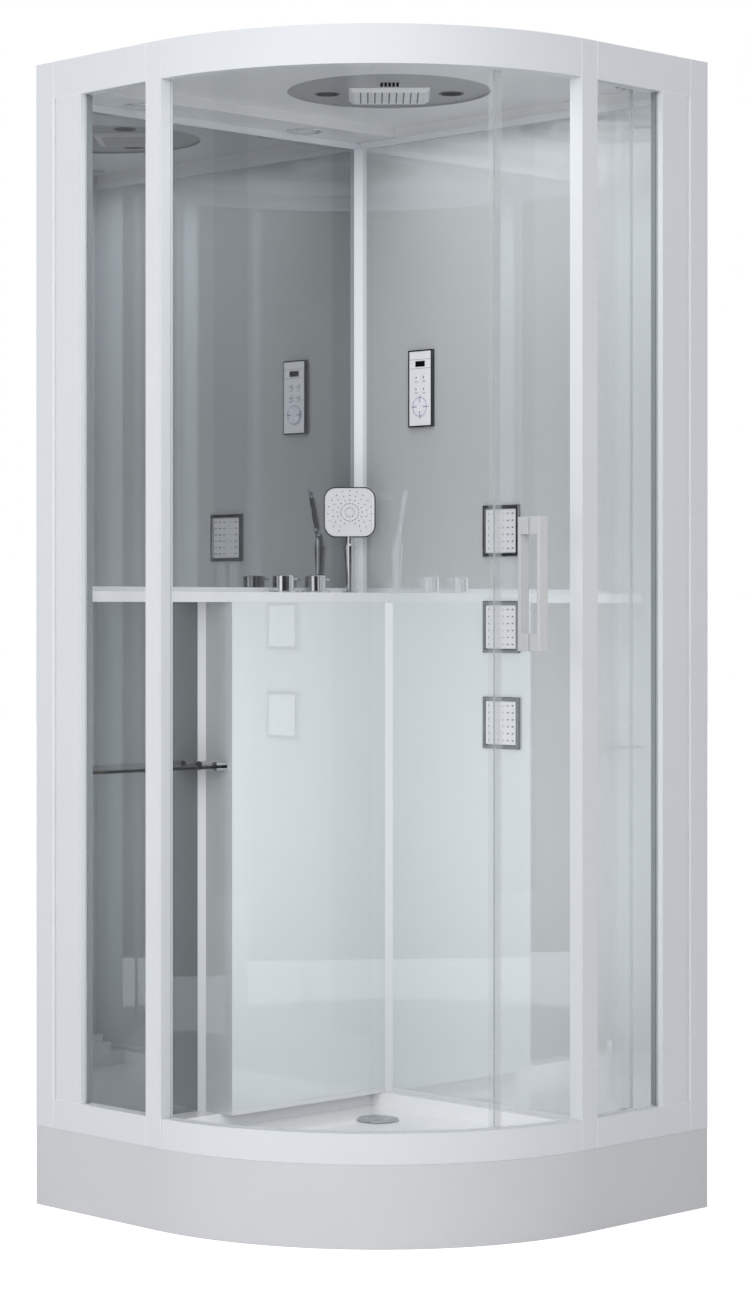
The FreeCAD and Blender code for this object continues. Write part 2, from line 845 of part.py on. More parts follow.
def door_handles():
    """A rectangular pull handle on each face of the leaf, and the screws that join them."""
    low = "handle_low"
    high = "handle_low + handle_long"
    for name, near, far in (
        ("door_handle_outer", "door_outer", "door_outer + handle_reach"),
        ("door_handle_inner", "door_inner - handle_reach", "door_inner"),
    ):
        outward = name.endswith("outer")
        bar_from = "door_outer + handle_reach - handle_thick" if outward else near
        bar_to = far if outward else "door_inner - handle_reach + handle_thick"
        seat = (near + " + glass_fit", far) if outward else (near, far + " - glass_fit")
        bar = arc_block((bar_from, bar_to), "handle_angle", "handle_wide", (low, high))
        ends = [
            arc_block(seat, "handle_angle", "handle_wide", (low, "handle_low + handle_end")),
            arc_block(seat, "handle_angle", "handle_wide", (high + " - handle_end", high)),
        ]
        keep(name, fuse(bar, *ends))
    span = ("door_inner - glass_fit", "door_outer + glass_fit")
    screws = [arc_rod(span, "handle_angle", "screw_radius - screw_air", level) for level in SCREW_HIGHS]
    keep("handle_screws", group(*screws))


def door_brackets():
    """Hangers with their roller axles at the leaf's top, and nylon glides at its foot."""
    pieces = []
    plate_z = ("hanger_foot", "hanger_head")
    pad_z = ("hanger_foot", "hanger_foot + hanger_pad")
    glide_z = ("glide_foot", "glide_foot + glide_high")
    glide_deep = ("door_inner - glide_thick", "door_inner - seat_gap")
    for at in ("roller_lead_angle", "roller_trail_angle"):
        plate = arc_block(("hanger_inner", "hanger_outer"), at, "hanger_wide", plate_z)
        pad = arc_block(("hanger_outer", "door_inner - seat_gap"), at, "hanger_wide", pad_z)
        bolt = arc_rod(("hanger_outer", "door_outer"), at, "bolt_radius - screw_air", BOLT_HIGH)
        axle = arc_rod(("hanger_outer", "axle_tip"), at, "axle_radius", "axle_high")
        pieces.append(fuse(plate, pad, bolt, axle))
        glide = arc_block(glide_deep, at, "hanger_wide", glide_z)
        stud_deep = ("door_inner - glide_thick", "door_outer")
        stud = arc_rod(stud_deep, at, "bolt_radius - screw_air", STUD_HIGH)
        pieces.append(fuse(glide, stud))
    keep("door_brackets", group(*pieces))


def rollers():
    for name, at in (("roller_lead", "roller_lead_angle"), ("roller_trail", "roller_trail_angle")):
        span = ("hanger_outer + roller_side", "hanger_outer + roller_side + roller_wide")
        wheel = arc_rod(span, at, "roller_radius", "axle_high")
        bore = arc_rod(("hanger_outer", "rail_inner"), at, "roller_bore", "axle_high")
        keep(name, cut(wheel, bore))


def walls():
    left_u = ("left_wall - wall_glass", "left_wall")
    upper = block(left_u, ("right_wall", "wall_end"), ("ledge_top", "wall_top"))
    keep("wall_left_upper", upper)
    niche = block(left_u, ("column_wide", "wall_end"), ("rim_top", "ledge_under"))
    keep("wall_left_niche", niche)
    sheet_v = ("right_wall - wall_glass", "right_wall")
    pane = block(("corner_post", "wall_end"), sheet_v, ("rim_top", "wall_top"))
    holes = [
        level_v("jet_u", ("0", "right_wall + cut_over"), level, "jet_hole")
        for level in jet_levels()
    ]
    plug = block(
        ("panel_u - panel_plug", "panel_u + panel_plug"),
        ("0", "right_wall + cut_over"),
        ("panel_top - dial_drop - panel_plug", "panel_top - dial_drop + panel_plug"),
    )
    keep("wall_right", cut(pane, plug, *holes))


def rear_corner_post():
    """The angle that joins the two walls, with the cover strip seen in the corner."""
    z = ("rim_top", "wall_top")
    post = block(("0", "corner_post"), ("right_wall - wall_glass", "right_wall"), z)
    lip = block(("0", "corner_wall"), ("0", "right_wall - wall_glass"), z)
    keep("rear_corner_post", fuse(post, lip))


def wall_trims():
    """White cover strips in the corners and along the walls' top and foot edges."""
    upper = ("ledge_top", "wall_top")
    lower = ("rim_top", "ledge_under")
    pieces = [
        corner_strip("left_wall", "right_wall", upper, "corner_trim"),
        corner_strip("ledge_deep", "right_wall", lower, "trim_wide"),
        corner_strip("left_wall", "column_wide", lower, "trim_wide"),
    ]
    top_z = ("wall_top - strip_high", "wall_top")
    low_z = ("ledge_top", "ledge_top + strip_low")
    foot_z = ("rim_top", "rim_top + skirt_high")
    after = "right_wall + corner_trim + seat_gap"
    for z in (top_z, low_z):
        pieces.append(block(("left_wall", "left_wall + strip_thick"), (after, "wall_end"), z))
    top_u = ("left_wall + corner_trim + seat_gap", "wall_end")
    pieces.append(block(top_u, ("right_wall", "right_wall + strip_thick"), top_z))
    foot_from = "ledge_deep + trim_wide + seat_gap"
    pieces.append(block((foot_from, "wall_end"), ("right_wall", "right_wall + trim_thick"), foot_z))
    foot_v = ("right_wall + trim_wide + seat_gap", "column_wide")
    pieces.append(block(("ledge_deep", "ledge_deep + trim_thick"), foot_v, foot_z))
    keep("wall_trims", group(*pieces))


def corner_strip(u, v, z, wide):
    """A three-cornered strip that fills a corner between two panels."""
    full = block((u, u + " + " + wide), (v, v + " + " + wide), z)
    raw = doc.addObject("Part::Box", "Slant")
    bind(raw, "Length", "2 * (%s)" % wide)
    bind(raw, "Width", "2 * (%s)" % wide)
    bind(raw, "Height", minus(z[1], z[0]) + " + 2 * cut_over")
    turn(raw, Z_AXIS, "view_angle + 180")
    place(raw, u + " + " + wide, v, minus(z[0], "cut_over"))
    return cut(full, raw)


def jet_levels():
    return ["jet_low", "jet_low + jet_pitch", "jet_low + 2 * jet_pitch"]


def ledge():
    board = block(("0", "ledge_deep"), ("right_wall", "wall_end"), ("ledge_under", "ledge_top"))
    through = z_over(("ledge_under", "ledge_top"))
    holes = [
        upright("fitting_u", v, "valve_neck + seat_gap", through)
        for v in ("mixer_v", "diverter_v")
    ]
    holes.append(upright("fitting_u", "hand_v", "socket_tube + seat_gap", through))
    keep("ledge", cut(board, *holes))


def column():
    """The plumbing column under the ledge: a glass front and a glass side."""
    z = ("rim_top", "ledge_under")
    keep("column_front_panel", block(("column_face", "ledge_deep"), ("right_wall", "column_wide"), z))
    side_u = ("left_wall - wall_glass", "column_face")
    keep("column_side_panel", block(side_u, ("column_side", "column_wide"), z))


def shelf():
    top = "shelf_under + shelf_thick"
    board = block(
        ("left_wall", "ledge_deep - shelf_inset"),
        ("column_wide + trim_wide + seat_gap", "wall_end"),
        ("shelf_under", top),
    )
    keep("shelf", board)
    clips = []
    clip_v = ("column_wide", "column_wide + trim_wide + clip_long")
    for u in ("clip_near", "clip_far"):
        pin = level_v(u, clip_v, "shelf_under + shelf_thick / 2", "clip_radius")
        slot = block(
            ("left_wall", "ledge_deep"),
            ("column_wide + trim_wide", "column_wide + trim_wide + clip_long + cut_over"),
            ("shelf_under - screw_air", top + " + screw_air"),
        )
        clips.append(cut(pin, slot))
    keep("shelf_clips", group(*clips))


def valves():
    """Two thermostatic valve bodies on one manifold, with the hot and cold inlet tails."""
    bodies = []
    for v in ("mixer_v", "diverter_v"):
        bodies.append(upright("fitting_u", v, "valve_radius", ("valve_bottom", "ledge_under")))
        bodies.append(upright("fitting_u", v, "valve_neck", ("ledge_under", "ledge_top")))
    bar_u = ("fitting_u - manifold_half", "fitting_u + manifold_half")
    bar_v = ("diverter_v", "mixer_v")
    bodies.append(block(bar_u, bar_v, ("manifold_low", "manifold_low + manifold_high")))
    elbow_z = ("inlet_high - collar_radius", "inlet_high + collar_radius")
    for v in inlet_places():
        bodies.append(level_u(("inlet_back", "fitting_u"), v, "inlet_high", "inlet_radius"))
        bodies.append(level_u(("inlet_collar", "fitting_u"), v, "inlet_high", "collar_radius"))
        bodies.append(upright("fitting_u", v, "collar_radius", elbow_z))
    bodies.append(level_v("fitting_u", inlet_places(), "inlet_high", "inlet_radius"))
    bore_z = ("spindle_low - knob_gap", "ledge_top + cut_over")
    bores = [
        upright("fitting_u", v, "spindle_radius + spindle_fit", bore_z)
        for v in ("mixer_v", "diverter_v")
    ]
    keep("valve_bodies", cut(fuse(*bodies), *bores))


def inlet_places():
    middle = "(mixer_v + diverter_v) / 2"
    return [middle + " - inlet_spacing / 2", middle + " + inlet_spacing / 2"]


def knobs():
    for name, v in (("knob_mixer", "mixer_v"), ("knob_diverter", "diverter_v")):
        grip = turned(
            [
                ("0", "spindle_low - knob_low"),
                ("spindle_radius", "spindle_low - knob_low"),
                ("spindle_radius", "0"),
                ("knob_radius", "0"),
                ("knob_radius", "knob_high - knob_edge"),
                ("knob_radius - knob_edge", "knob_high"),
                ("0", "knob_high"),
            ],
            "fitting_u", v, "knob_low",
        )
        reach = (v + " - knob_radius - lever_long", v + " - knob_radius / 2")
        keep(name, fuse(grip, level_v("fitting_u", reach, "knob_low + lever_high", "lever_radius")))


def ledge_fittings():
    """The chrome flanges under the knobs, and the socket that the hand shower stands in."""
    pieces = []
    for v in ("mixer_v", "diverter_v"):
        pieces.append(turned(
            [
                ("spindle_radius + seat_gap", "0"),
                ("flange_radius", "0"),
                ("flange_radius - flange_thick / 2", "flange_thick"),
                ("spindle_radius + seat_gap", "flange_thick"),
            ],
            "fitting_u", v, "ledge_top",
        ))
    pieces.append(turned(
        [
            ("spigot_radius + seat_gap", "-spigot_deep - seat_gap"),
            ("socket_tube", "-spigot_deep - seat_gap"),
            ("socket_tube", "0"),
            ("socket_radius", "0"),
            ("socket_radius - flange_thick / 2", "flange_thick"),
            ("spigot_radius + seat_gap", "flange_thick"),
        ],
        "fitting_u", "hand_v", "ledge_top",
    ))
    keep("ledge_fittings", group(*pieces))


def raw_cone(low_radius, top_radius, z):
    piece = doc.addObject("Part::Cone", "Taper")
    bind(piece, "Radius1", low_radius)
    bind(piece, "Radius2", top_radius)
    bind(piece, "Height", minus(z[1], z[0]))
    bind(piece, "Placement.Base.z", z[0])
    return piece


def hand_shower():
    """Drawn facing +X about its own upright axis, then turned to face the entrance."""
    spigot = doc.addObject("Part::Cylinder", "Spigot")
    bind(spigot, "Radius", "spigot_radius")
    bind(spigot, "Height", "spigot_deep + flange_thick")
    bind(spigot, "Placement.Base.z", "-spigot_deep - flange_thick")
    grip = raw_cone("grip_low_radius", "grip_top_radius", ("0", "grip_long"))
    neck = raw_cone("grip_top_radius - head_rim", "neck_radius", ("grip_long", "grip_long + neck_long"))
    shell = slab("head_wide", "head_high", "head_corner", "head_thick")
    pocket = slab(
        "head_wide - 2 * head_rim", "head_high - 2 * head_rim",
        "head_corner - head_rim", "head_face + cut_over",
    )
    bind(pocket, "Placement.Base.x", "head_thick - head_face")
    shell = group(cut(shell, pocket))
    inset = "2 * (head_rim + screw_air)"
    plate = slab(
        "head_wide - " + inset, "head_high - " + inset, "head_corner - head_rim - screw_air", "head_face"
    )
    bind(plate, "Placement.Base.x", "head_thick - head_face")
    plate = group(plate)
    for piece in (shell, plate):
        turn(piece, Y_AXIS, "head_tilt_angle")
        bind(piece, "Placement.Base.x", "head_forward")
        bind(piece, "Placement.Base.z", "head_centre - ledge_top - flange_thick")
    body = fuse(spigot, grip, neck, shell)
    for name, piece in (("hand_shower", body), ("hand_shower_face", group(plate))):
        turn(piece, Z_AXIS, "360 - view_angle")
        place(piece, "fitting_u", "hand_v", "ledge_top + flange_thick")
        keep(name, piece)


def jets():
    """Three square body jets on the right wall."""
    frames, plates, bodies = [], [], []
    half_size = "jet_size / 2"
    inner = "jet_size / 2 - jet_frame"
    front = ("right_wall", "right_wall + jet_proud")
    plate_v = ("right_wall", "right_wall + jet_plate_thick")
    barrel_v = ("right_wall - jet_body_deep - jet_fit", "right_wall")
    nut_v = ("jet_back - jet_nut_thick", "jet_back")
    for level in jet_levels():
        rim = square("jet_u", level, half_size, front)
        room = square("jet_u", level, inner, z_over(front))
        frames.append(cut(rim, room))
        plates.append(square("jet_u", level, inner + " - jet_fit", plate_v))
        barrel = level_v("jet_u", barrel_v, level, "jet_body_radius")
        bodies.append(fuse(barrel, level_v("jet_u", nut_v, level, "jet_nut_radius")))
    keep("jet_frames", group(*frames))
    keep("jet_plates", group(*plates))
    keep("jet_bodies", group(*bodies))


def square(u, z, half_side, v):
    """A square block on the right wall, about a centre."""
    return block(
        ("%s - (%s)" % (u, half_side), "%s + (%s)" % (u, half_side)),
        v,
        ("%s - (%s)" % (z, half_side), "%s + (%s)" % (z, half_side)),
    )


def control_panel():
    wide = ("panel_u - panel_wide / 2", "panel_u + panel_wide / 2")
    high = ("panel_low", "panel_top")
    shell = block(wide, ("right_wall", "right_wall + panel_proud"), high)
    inside_u = ("panel_u - panel_wide / 2 + panel_rim", "panel_u + panel_wide / 2 - panel_rim")
    inside_z = ("panel_low + panel_rim", "panel_top - panel_rim")
    pocket_v = ("right_wall + panel_floor", "right_wall + panel_proud + cut_over")
    pocket = block(inside_u, pocket_v, inside_z)
    plug_v = ("right_wall - panel_plug_deep", "right_wall")
    plug = square("panel_u", "panel_top - dial_drop", "panel_plug - seat_gap", plug_v)
    keep("panel_housing", fuse(cut(shell, pocket), plug))
    plate_v = ("panel_face_rear", "panel_face_front")
    hole_v = ("panel_face_rear - cut_over", "panel_face_front + cut_over")
    key_v = ("right_wall + panel_floor + key_travel + key_fit", "panel_face_front + key_proud")
    plate = block(inside_u, plate_v, inside_z)
    rests = block(inside_u, ("right_wall + panel_floor", "panel_face_rear"), inside_z)
    rest_room = block(
        ("panel_u - panel_wide / 2 + 2 * panel_rim", "panel_u + panel_wide / 2 - 2 * panel_rim"),
        ("right_wall", "right_wall + panel_proud"),
        ("panel_low + 2 * panel_rim", "panel_top - 2 * panel_rim"),
    )
    holes = []
    for count, (side, drop) in enumerate(KEY_PLACES, start=1):
        u = "panel_u + %s * key_half_gap" % side
        z = "panel_top - " + drop
        holes.append(square(u, z, "key_size / 2 + key_fit", hole_v))
        keep("key_%d" % count, square(u, z, "key_size / 2", key_v))
    dial_z = "panel_top - dial_drop"
    holes.append(level_v("panel_u", hole_v, dial_z, "dial_radius + key_fit"))
    keep("key_ring", level_v("panel_u", key_v, dial_z, "dial_radius"))
    keep("panel_face", fuse(cut(plate, *holes), cut(rests, rest_room)))


def roof():
    """A moulded roof: a low soffit over the left wall, a raised ceiling with a round recess,
    and a step up over the door's track."""
    inside = (("soffit_deep", "width"), ("roof_wall", "width"))
    z = ("ceiling_under", "ceiling_top")
    high = ("ceiling_under", "roof_top + roof_skin")
    disc = common(arc_disc("roof_radius", z), block(inside[0], inside[1], z))
    wall = common(
        cut(arc_disc("roof_radius", high), arc_disc("roof_radius - roof_skin", z_over(high))),
        block(inside[0], inside[1], high),
    )
    top_z = ("roof_top", "roof_top + roof_skin")
    beside_post = ("profile_wide + seat_gap", "width")
    corner_v = ("roof_wall", "profile_wide + cut_over")
    corner_plate = block(("roof_reach", "wall_end - seat_gap"), corner_v, top_z)
    full_plate = outline("rail_deep + seat_gap", top_z, "roof_wall")
    shelf_plate = cut(
        common(full_plate, block(inside[0], beside_post, top_z)),
        arc_disc("roof_radius - roof_skin", z_over(top_z)),
    )
    soffit_v = ("roof_wall", "wall_end - seat_gap")
    soffit_z = ("soffit_under", "soffit_under + roof_skin")
    soffit = block(("left_wall", "soffit_deep"), soffit_v, soffit_z)
    riser_z = ("soffit_under", "roof_top + roof_skin")
    riser = block(("soffit_deep - roof_skin", "soffit_deep"), soffit_v, riser_z)
    beam_z = ("soffit_under", "ceiling_top")
    beam = block(("left_wall", "roof_side_end"), ("roof_wall", "wall_side"), beam_z)
    strip = block(("soffit_deep", "roof_side_end"), ("roof_wall", "roof_side"), z)
    cap_z = ("recess_under", "recess_top")
    cap = upright("recess_u", "recess_v", "recess_radius + roof_skin", ("ceiling_under", "recess_top"))
    room = upright("recess_u", "recess_v", "recess_radius", ("ceiling_under - cut_over", "recess_under"))
    through = z_over(cap_z)
    holes = [room, upright("rain_u", "rain_v", "rain_pipe + seat_gap", through)]
    holes += [upright(u, v, "speaker_magnet + seat_gap", through) for u, v in speaker_places()]
    holes += [
        upright("light_u", v, "light_can + seat_gap", z_over(soffit_z))
        for v in ("light_near", "light_far")
    ]
    holes += [vent_slot(step, through) for step in SLOT_STEPS]
    shell = fuse(disc, wall, shelf_plate, corner_plate, soffit, riser, beam, strip, cap)
    keep("roof_shell", cut(shell, *holes))


def arc_disc(radius, z):
    return upright("straight", "straight", radius, z)


def speaker_places():
    return [
        ("speaker_u - speaker_spread", "speaker_v + speaker_spread"),
        ("speaker_u + speaker_spread", "speaker_v - speaker_spread"),
    ]


def vent_slot(step, z):
    raw = doc.addObject("Part::Box", "Slot")
    bind(raw, "Length", "vent_slot_long")
    bind(raw, "Width", "vent_slot_wide")
    bind(raw, "Height", minus(z[1], z[0]))
    bind(raw, "Placement.Base.x", "-vent_slot_long / 2")
    bind(raw, "Placement.Base.y", "%d * vent_slot_pitch - vent_slot_wide / 2" % step)
    piece = group(raw)
    turn(piece, Z_AXIS, "360 - view_angle")
    place(piece, "vent_u", "vent_v", z[0])
    return piece


def rain_head():
    """The square overhead shower, set square to the cabin's diagonal."""
    plate = doc.addObject("Part::Box", "RainPlate")
    rim = doc.addObject("Part::Box", "RainRim")
    for piece, size, low, high in (
        (rim, "rain_size", "-rain_drop + rain_plate_drop", "0"),
        (plate, "rain_plate", "-rain_drop", "-rain_drop + rain_plate_drop"),
    ):
        bind(piece, "Length", size)
        bind(piece, "Width", size)
        bind(piece, "Height", minus(high, low))
        bind(piece, "Placement.Base.x", "-(%s) / 2" % size)
        bind(piece, "Placement.Base.y", "-(%s) / 2" % size)
        bind(piece, "Placement.Base.z", low)
    pipe = doc.addObject("Part::Cylinder", "RainPipe")
    bind(pipe, "Radius", "rain_pipe")
    bind(pipe, "Height", "roof_top - recess_under")
    head = fuse(plate, rim, pipe)
    turn(head, Z_AXIS, "360 - view_angle")
    place(head, "rain_u", "rain_v", "recess_under")
    keep("rain_head", head)


def vent_fan():
    top = "recess_top + fan_high"
    shell = upright("vent_u", "vent_v", "fan_radius + fan_wall", ("recess_top", top))
    room = upright("vent_u", "vent_v", "fan_radius", ("recess_top - cut_over", top + " - fan_wall"))
    outlet = block(
        ("vent_u", "vent_u + fan_radius + 2 * fan_wall"),
        ("vent_v - fan_radius / 2", "vent_v + fan_radius / 2"),
        ("recess_top + fan_wall", top + " - 2 * fan_wall"),
    )
    bore = upright("vent_u", "vent_v", "fan_shaft + spindle_fit", z_over((top + " - fan_wall", top)))
    keep("vent_fan_housing", cut(shell, room, outlet, bore))
    low = "recess_top + fan_gap"
    high = top + " - fan_wall - fan_gap"
    hub = upright("vent_u", "vent_v", "fan_hub", (low, high))
    shaft = upright("vent_u", "vent_v", "fan_shaft", (low, top))
    blades = []
    for i in range(int(number("blade_count"))):
        raw = doc.addObject("Part::Box", "Blade")
        bind(raw, "Length", "fan_radius - fan_gap")
        bind(raw, "Width", "fan_blade")
        bind(raw, "Height", minus(high, low))
        bind(raw, "Placement.Base.y", "-fan_blade / 2")
        blade = group(raw)
        turn(blade, Z_AXIS, "360 / blade_count * %d + blade_first_angle" % i)
        place(blade, "vent_u", "vent_v", low)
        blades.append(blade)
    keep("vent_impeller", fuse(hub, shaft, *blades))


def speakers():
    pieces = []
    for u, v in speaker_places():
        front = upright(u, v, "speaker_radius", ("recess_under - speaker_thick", "recess_under"))
        magnet = upright(u, v, "speaker_magnet", ("recess_under", "recess_under + speaker_deep"))
        pieces.append(fuse(front, magnet))
    keep("speakers", group(*pieces))


def downlights():
    pieces = []
    ring_z = ("soffit_under - light_proud", "soffit_under")
    can_z = ("soffit_under", "soffit_under + light_can_high")
    room_z = ("soffit_under - light_proud - cut_over", "soffit_under - light_proud / 2")
    for v in ("light_near", "light_far"):
        ring = upright("light_u", v, "light_radius", ring_z)
        can = upright("light_u", v, "light_can", can_z)
        room = upright("light_u", v, "light_radius - light_ring", room_z)
        pieces.append(fuse(cut(ring, room), can))
    keep("downlights", group(*pieces))


for make in (
    tray, tray_apron, tray_frame, tray_feet, drain, rails, profiles, fixed_glazing, tracks,
    door_leaf, door_seals, door_handles, door_brackets, rollers, walls, rear_corner_post,
    wall_trims, ledge, column, shelf, valves, knobs, ledge_fittings, hand_shower, jets,
    control_panel, roof, rain_head, vent_fan, speakers, downlights,
):
    make()

doc.recompute()
for piece in doc.Objects:
    if "Invalid" in piece.State or "Error" in piece.State:
        raise RuntimeError("%s (%s) failed: %s" % (piece.Name, piece.Label, piece.State))
for piece in NODES:
    shape = piece.Shape
    if shape.isNull() or not shape.isValid() or not shape.Solids:
        raise RuntimeError("%s has no sound shape" % piece.Label)
    shape.exportStep("parts/%s.step" % piece.Label)
    print(piece.Label, len(shape.Solids), "solids", round(shape.Volume / 1000.0, 1), "cm3")
print(len(NODES), "nodes")
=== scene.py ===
# %% [markdown]
# A quadrant shower cabin stands on a white plinth: two glass-clad walls meet in the back corner,
# clear panes close its two open sides, and a curved pane and a curved sliding door close the front.
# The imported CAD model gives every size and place. This lesson loads it, gives each piece its
# finish, and adds what CAD leaves out: spray nozzles, key marks, grilles and softened edges.

# %% Load the frame
import json
import math

import bmesh
import bpy
from mathutils import Matrix, Vector


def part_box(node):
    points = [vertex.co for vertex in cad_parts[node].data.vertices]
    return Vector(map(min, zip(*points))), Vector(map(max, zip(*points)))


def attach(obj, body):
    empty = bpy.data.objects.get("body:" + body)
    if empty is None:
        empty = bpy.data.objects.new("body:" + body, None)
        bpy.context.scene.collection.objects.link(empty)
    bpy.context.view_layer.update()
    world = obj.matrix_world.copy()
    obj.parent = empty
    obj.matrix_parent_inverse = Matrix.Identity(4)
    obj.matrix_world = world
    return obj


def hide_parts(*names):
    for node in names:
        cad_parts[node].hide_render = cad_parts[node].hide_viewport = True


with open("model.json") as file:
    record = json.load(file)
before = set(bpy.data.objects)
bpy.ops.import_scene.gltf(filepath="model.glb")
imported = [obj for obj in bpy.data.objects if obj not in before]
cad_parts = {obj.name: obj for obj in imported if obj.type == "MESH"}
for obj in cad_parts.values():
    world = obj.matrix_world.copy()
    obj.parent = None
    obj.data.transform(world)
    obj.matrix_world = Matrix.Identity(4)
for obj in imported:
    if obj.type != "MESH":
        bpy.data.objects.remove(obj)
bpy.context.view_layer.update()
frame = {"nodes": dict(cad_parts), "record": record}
node_body = {
    node: body
    for body, members in frame["record"]["behaviour"]["bodies"].items()
    for node in members
}

# %% [markdown]
# The cabin is drawn from its back corner: u runs along one wall and v along the other, in
# millimetres. One function turns such a place into Blender's metres, so that the sizes below
# can be read with a ruler in mind.

# %% Places and sizes
MM = 0.001
HALF_SIDE = 450


def at(u, v, z):
    """A place measured in mm from the back corner, as a Blender vector."""
    return Vector(((u - HALF_SIDE) * MM, (HALF_SIDE - v) * MM, z * MM))


ARC_CENTRE = at(340, 340, 0)


def rotation(degrees, axis):
    """The matrix that turns something by some degrees about an axis."""
    return Matrix.Rotation(math.radians(degrees), 4, axis)


def circle(radius, steps):
    """Points at equal steps on a circle, as (across, along)."""
    angles = [math.tau * i / steps for i in range(steps)]
    return [(math.cos(angle) * radius, math.sin(angle) * radius) for angle in angles]


print("the back corner is at", at(0, 0, 0)[:])

# %% [markdown]
# A shader takes linear light, while a colour picked from a paint chart is sRGB.
# One function turns a hex code into linear values, and one adds a node with its settings
# and its links.

# %% Colours and nodes
GAMMA_KNEE = 0.04045


def linear(code):
    """An sRGB hex code as the linear colour, with alpha, that a shader socket takes."""
    channels = [int(code[i:i + 2], 16) / 255 for i in (1, 3, 5)]
    bent = [c / 12.92 if c <= GAMMA_KNEE else ((c + 0.055) / 1.055) ** 2.4 for c in channels]
    return (*bent, 1.0)


def add_node(tree, kind, inputs=None, **settings):
    """Adds a node, its settings, and its inputs, each a plain value or another node's output."""
    made = tree.nodes.new(kind)
    for name, value in settings.items():
        setattr(made, name, value)
    for socket, value in (inputs or {}).items():
        if isinstance(value, bpy.types.NodeSocket):
            tree.links.new(value, made.inputs[socket])
        else:
            made.inputs[socket].default_value = value
    return made


print("mid grey #808080 is", round(linear("#808080")[0], 3), "in linear light")

# %% [markdown]
# Every finish starts from the same few facts about a real material: its colour, how rough it
# is, and whether it is a metal. What makes it look real comes on top: a relief that catches
# the light, a slight drift of colour, and a roughness that differs from place to place.
# Each of these three has its own size in millimetres.

# %% How a finish is made
# The Mix node has one pair of inputs for each kind of data, so its colours go by number.
MIX_FACTOR, MIX_A, MIX_B, MIX_RESULT = 0, 6, 7, 2


def start_finish(name, base, roughness, metallic=0.0, **sockets):
    """A new material with the values that are the same all over the surface."""
    material = bpy.data.materials.new(name)
    material.use_nodes = True
    tree = material.node_tree
    shader = tree.nodes["Principled BSDF"]
    shader.inputs["Base Color"].default_value = linear(base)
    shader.inputs["Roughness"].default_value = roughness
    shader.inputs["Metallic"].default_value = metallic
    for socket, value in sockets.items():
        shader.inputs[socket.replace("_", " ")].default_value = value
    return material, tree, shader


def noise_of(tree, size, stretch=(1, 1, 1), detail=2.0):
    """A noise whose features are about size mm across, stretched by a factor along each axis."""
    where = add_node(tree, "ShaderNodeTexCoord")
    scaled = add_node(tree, "ShaderNodeMapping", {
        "Vector": where.outputs["Object"],
        "Scale": [1 / (size * MM * s) for s in stretch],
    })
    return add_node(tree, "ShaderNodeTexNoise", {
        "Vector": scaled.outputs["Vector"], "Scale": 1.0, "Detail": detail,
    })


def add_relief(tree, shader, size, depth, stretch=(1, 1, 1)):
    """Bumps about size mm across and depth mm deep."""
    pattern = noise_of(tree, size, stretch)
    bump = add_node(tree, "ShaderNodeBump", {
        "Height": pattern.outputs["Fac"], "Distance": depth * MM, "Strength": 1.0,
    })
    tree.links.new(bump.outputs["Normal"], shader.inputs["Normal"])


def add_drift(tree, shader, first, second, size):
    """A colour that drifts between two tones over about size mm."""
    pattern = noise_of(tree, size, detail=3.0)
    tones = add_node(tree, "ShaderNodeMix", {
        MIX_FACTOR: pattern.outputs["Fac"], MIX_A: linear(first), MIX_B: linear(second),
    }, data_type="RGBA")
    tree.links.new(tones.outputs[MIX_RESULT], shader.inputs["Base Color"])


def add_wear(tree, shader, smooth, rough, size, stretch=(1, 1, 1)):
    """A roughness that changes between two values over about size mm."""
    pattern = noise_of(tree, size, stretch, detail=4.0)
    span = add_node(tree, "ShaderNodeMapRange", {
        "Value": pattern.outputs["Fac"], "From Min": 0.3, "From Max": 0.7,
        "To Min": smooth, "To Max": rough,
    })
    tree.links.new(span.outputs["Result"], shader.inputs["Roughness"])


def make_finish(name, base, roughness, metallic=0.0, relief=None, drift=None, wear=None, **sockets):
    """A whole finish; relief, drift and wear are the values for the functions above."""
    material, tree, shader = start_finish(name, base, roughness, metallic, **sockets)
    for add, values in ((add_relief, relief), (add_drift, drift), (add_wear, wear)):
        if values:
            add(tree, shader, *values)
    return material


print("a finish is a start, a relief, a drift and a wear")

# %% [markdown]
# The frame is extruded aluminium with a white powder coat. Baked powder leaves a satin skin with
# a very shallow orange peel, about a millimetre from hill to hill. In the render that is too fine
# to see, so it is drawn three times as coarse. The tray, its apron and the ledge are formed
# acrylic, which is glossier and flatter.

# %% White finishes
powder_coat = make_finish(
    "powder_coated_aluminium", "#E9ECF1", 0.34,
    relief=(3.5, 0.05), drift=("#E7EAEF", "#EBEEF3", 180))

acrylic = make_finish(
    "vacuum_formed_acrylic", "#F4F5F7", 0.2, Coat_Weight=0.25,
    relief=(4, 0.02), drift=("#F2F3F5", "#F6F7F9", 240))

ledge_acrylic = make_finish(
    "ledge_acrylic", "#DADCE0", 0.25, Coat_Weight=0.15,
    relief=(4, 0.02), drift=("#D7D9DD", "#DDDFE2", 240))

# The apron's tone is darker than the tray's acrylic: a painted shade on its upright front face.
apron_acrylic_painted_shade = make_finish(
    "bent_acrylic_apron_painted_shade", "#DBDCE0", 0.3, Coat_Weight=0.15,
    relief=(4, 0.02), drift=("#D8D9DD", "#DEDFE2", 240))

roof_abs = make_finish(
    "thermoformed_abs", "#EDEEF0", 0.3, relief=(3, 0.02), drift=("#EBECEE", "#EFF0F1", 200))

# The recess's grey tone is a painted shade for the shade inside the roof's recess.
recess_painted_shade_abs = make_finish(
    "grey_abs_recess_painted_shade", "#A7A9AC", 0.3, relief=(3, 0.02), drift=("#A5A7AA", "#A9ABAE", 120))

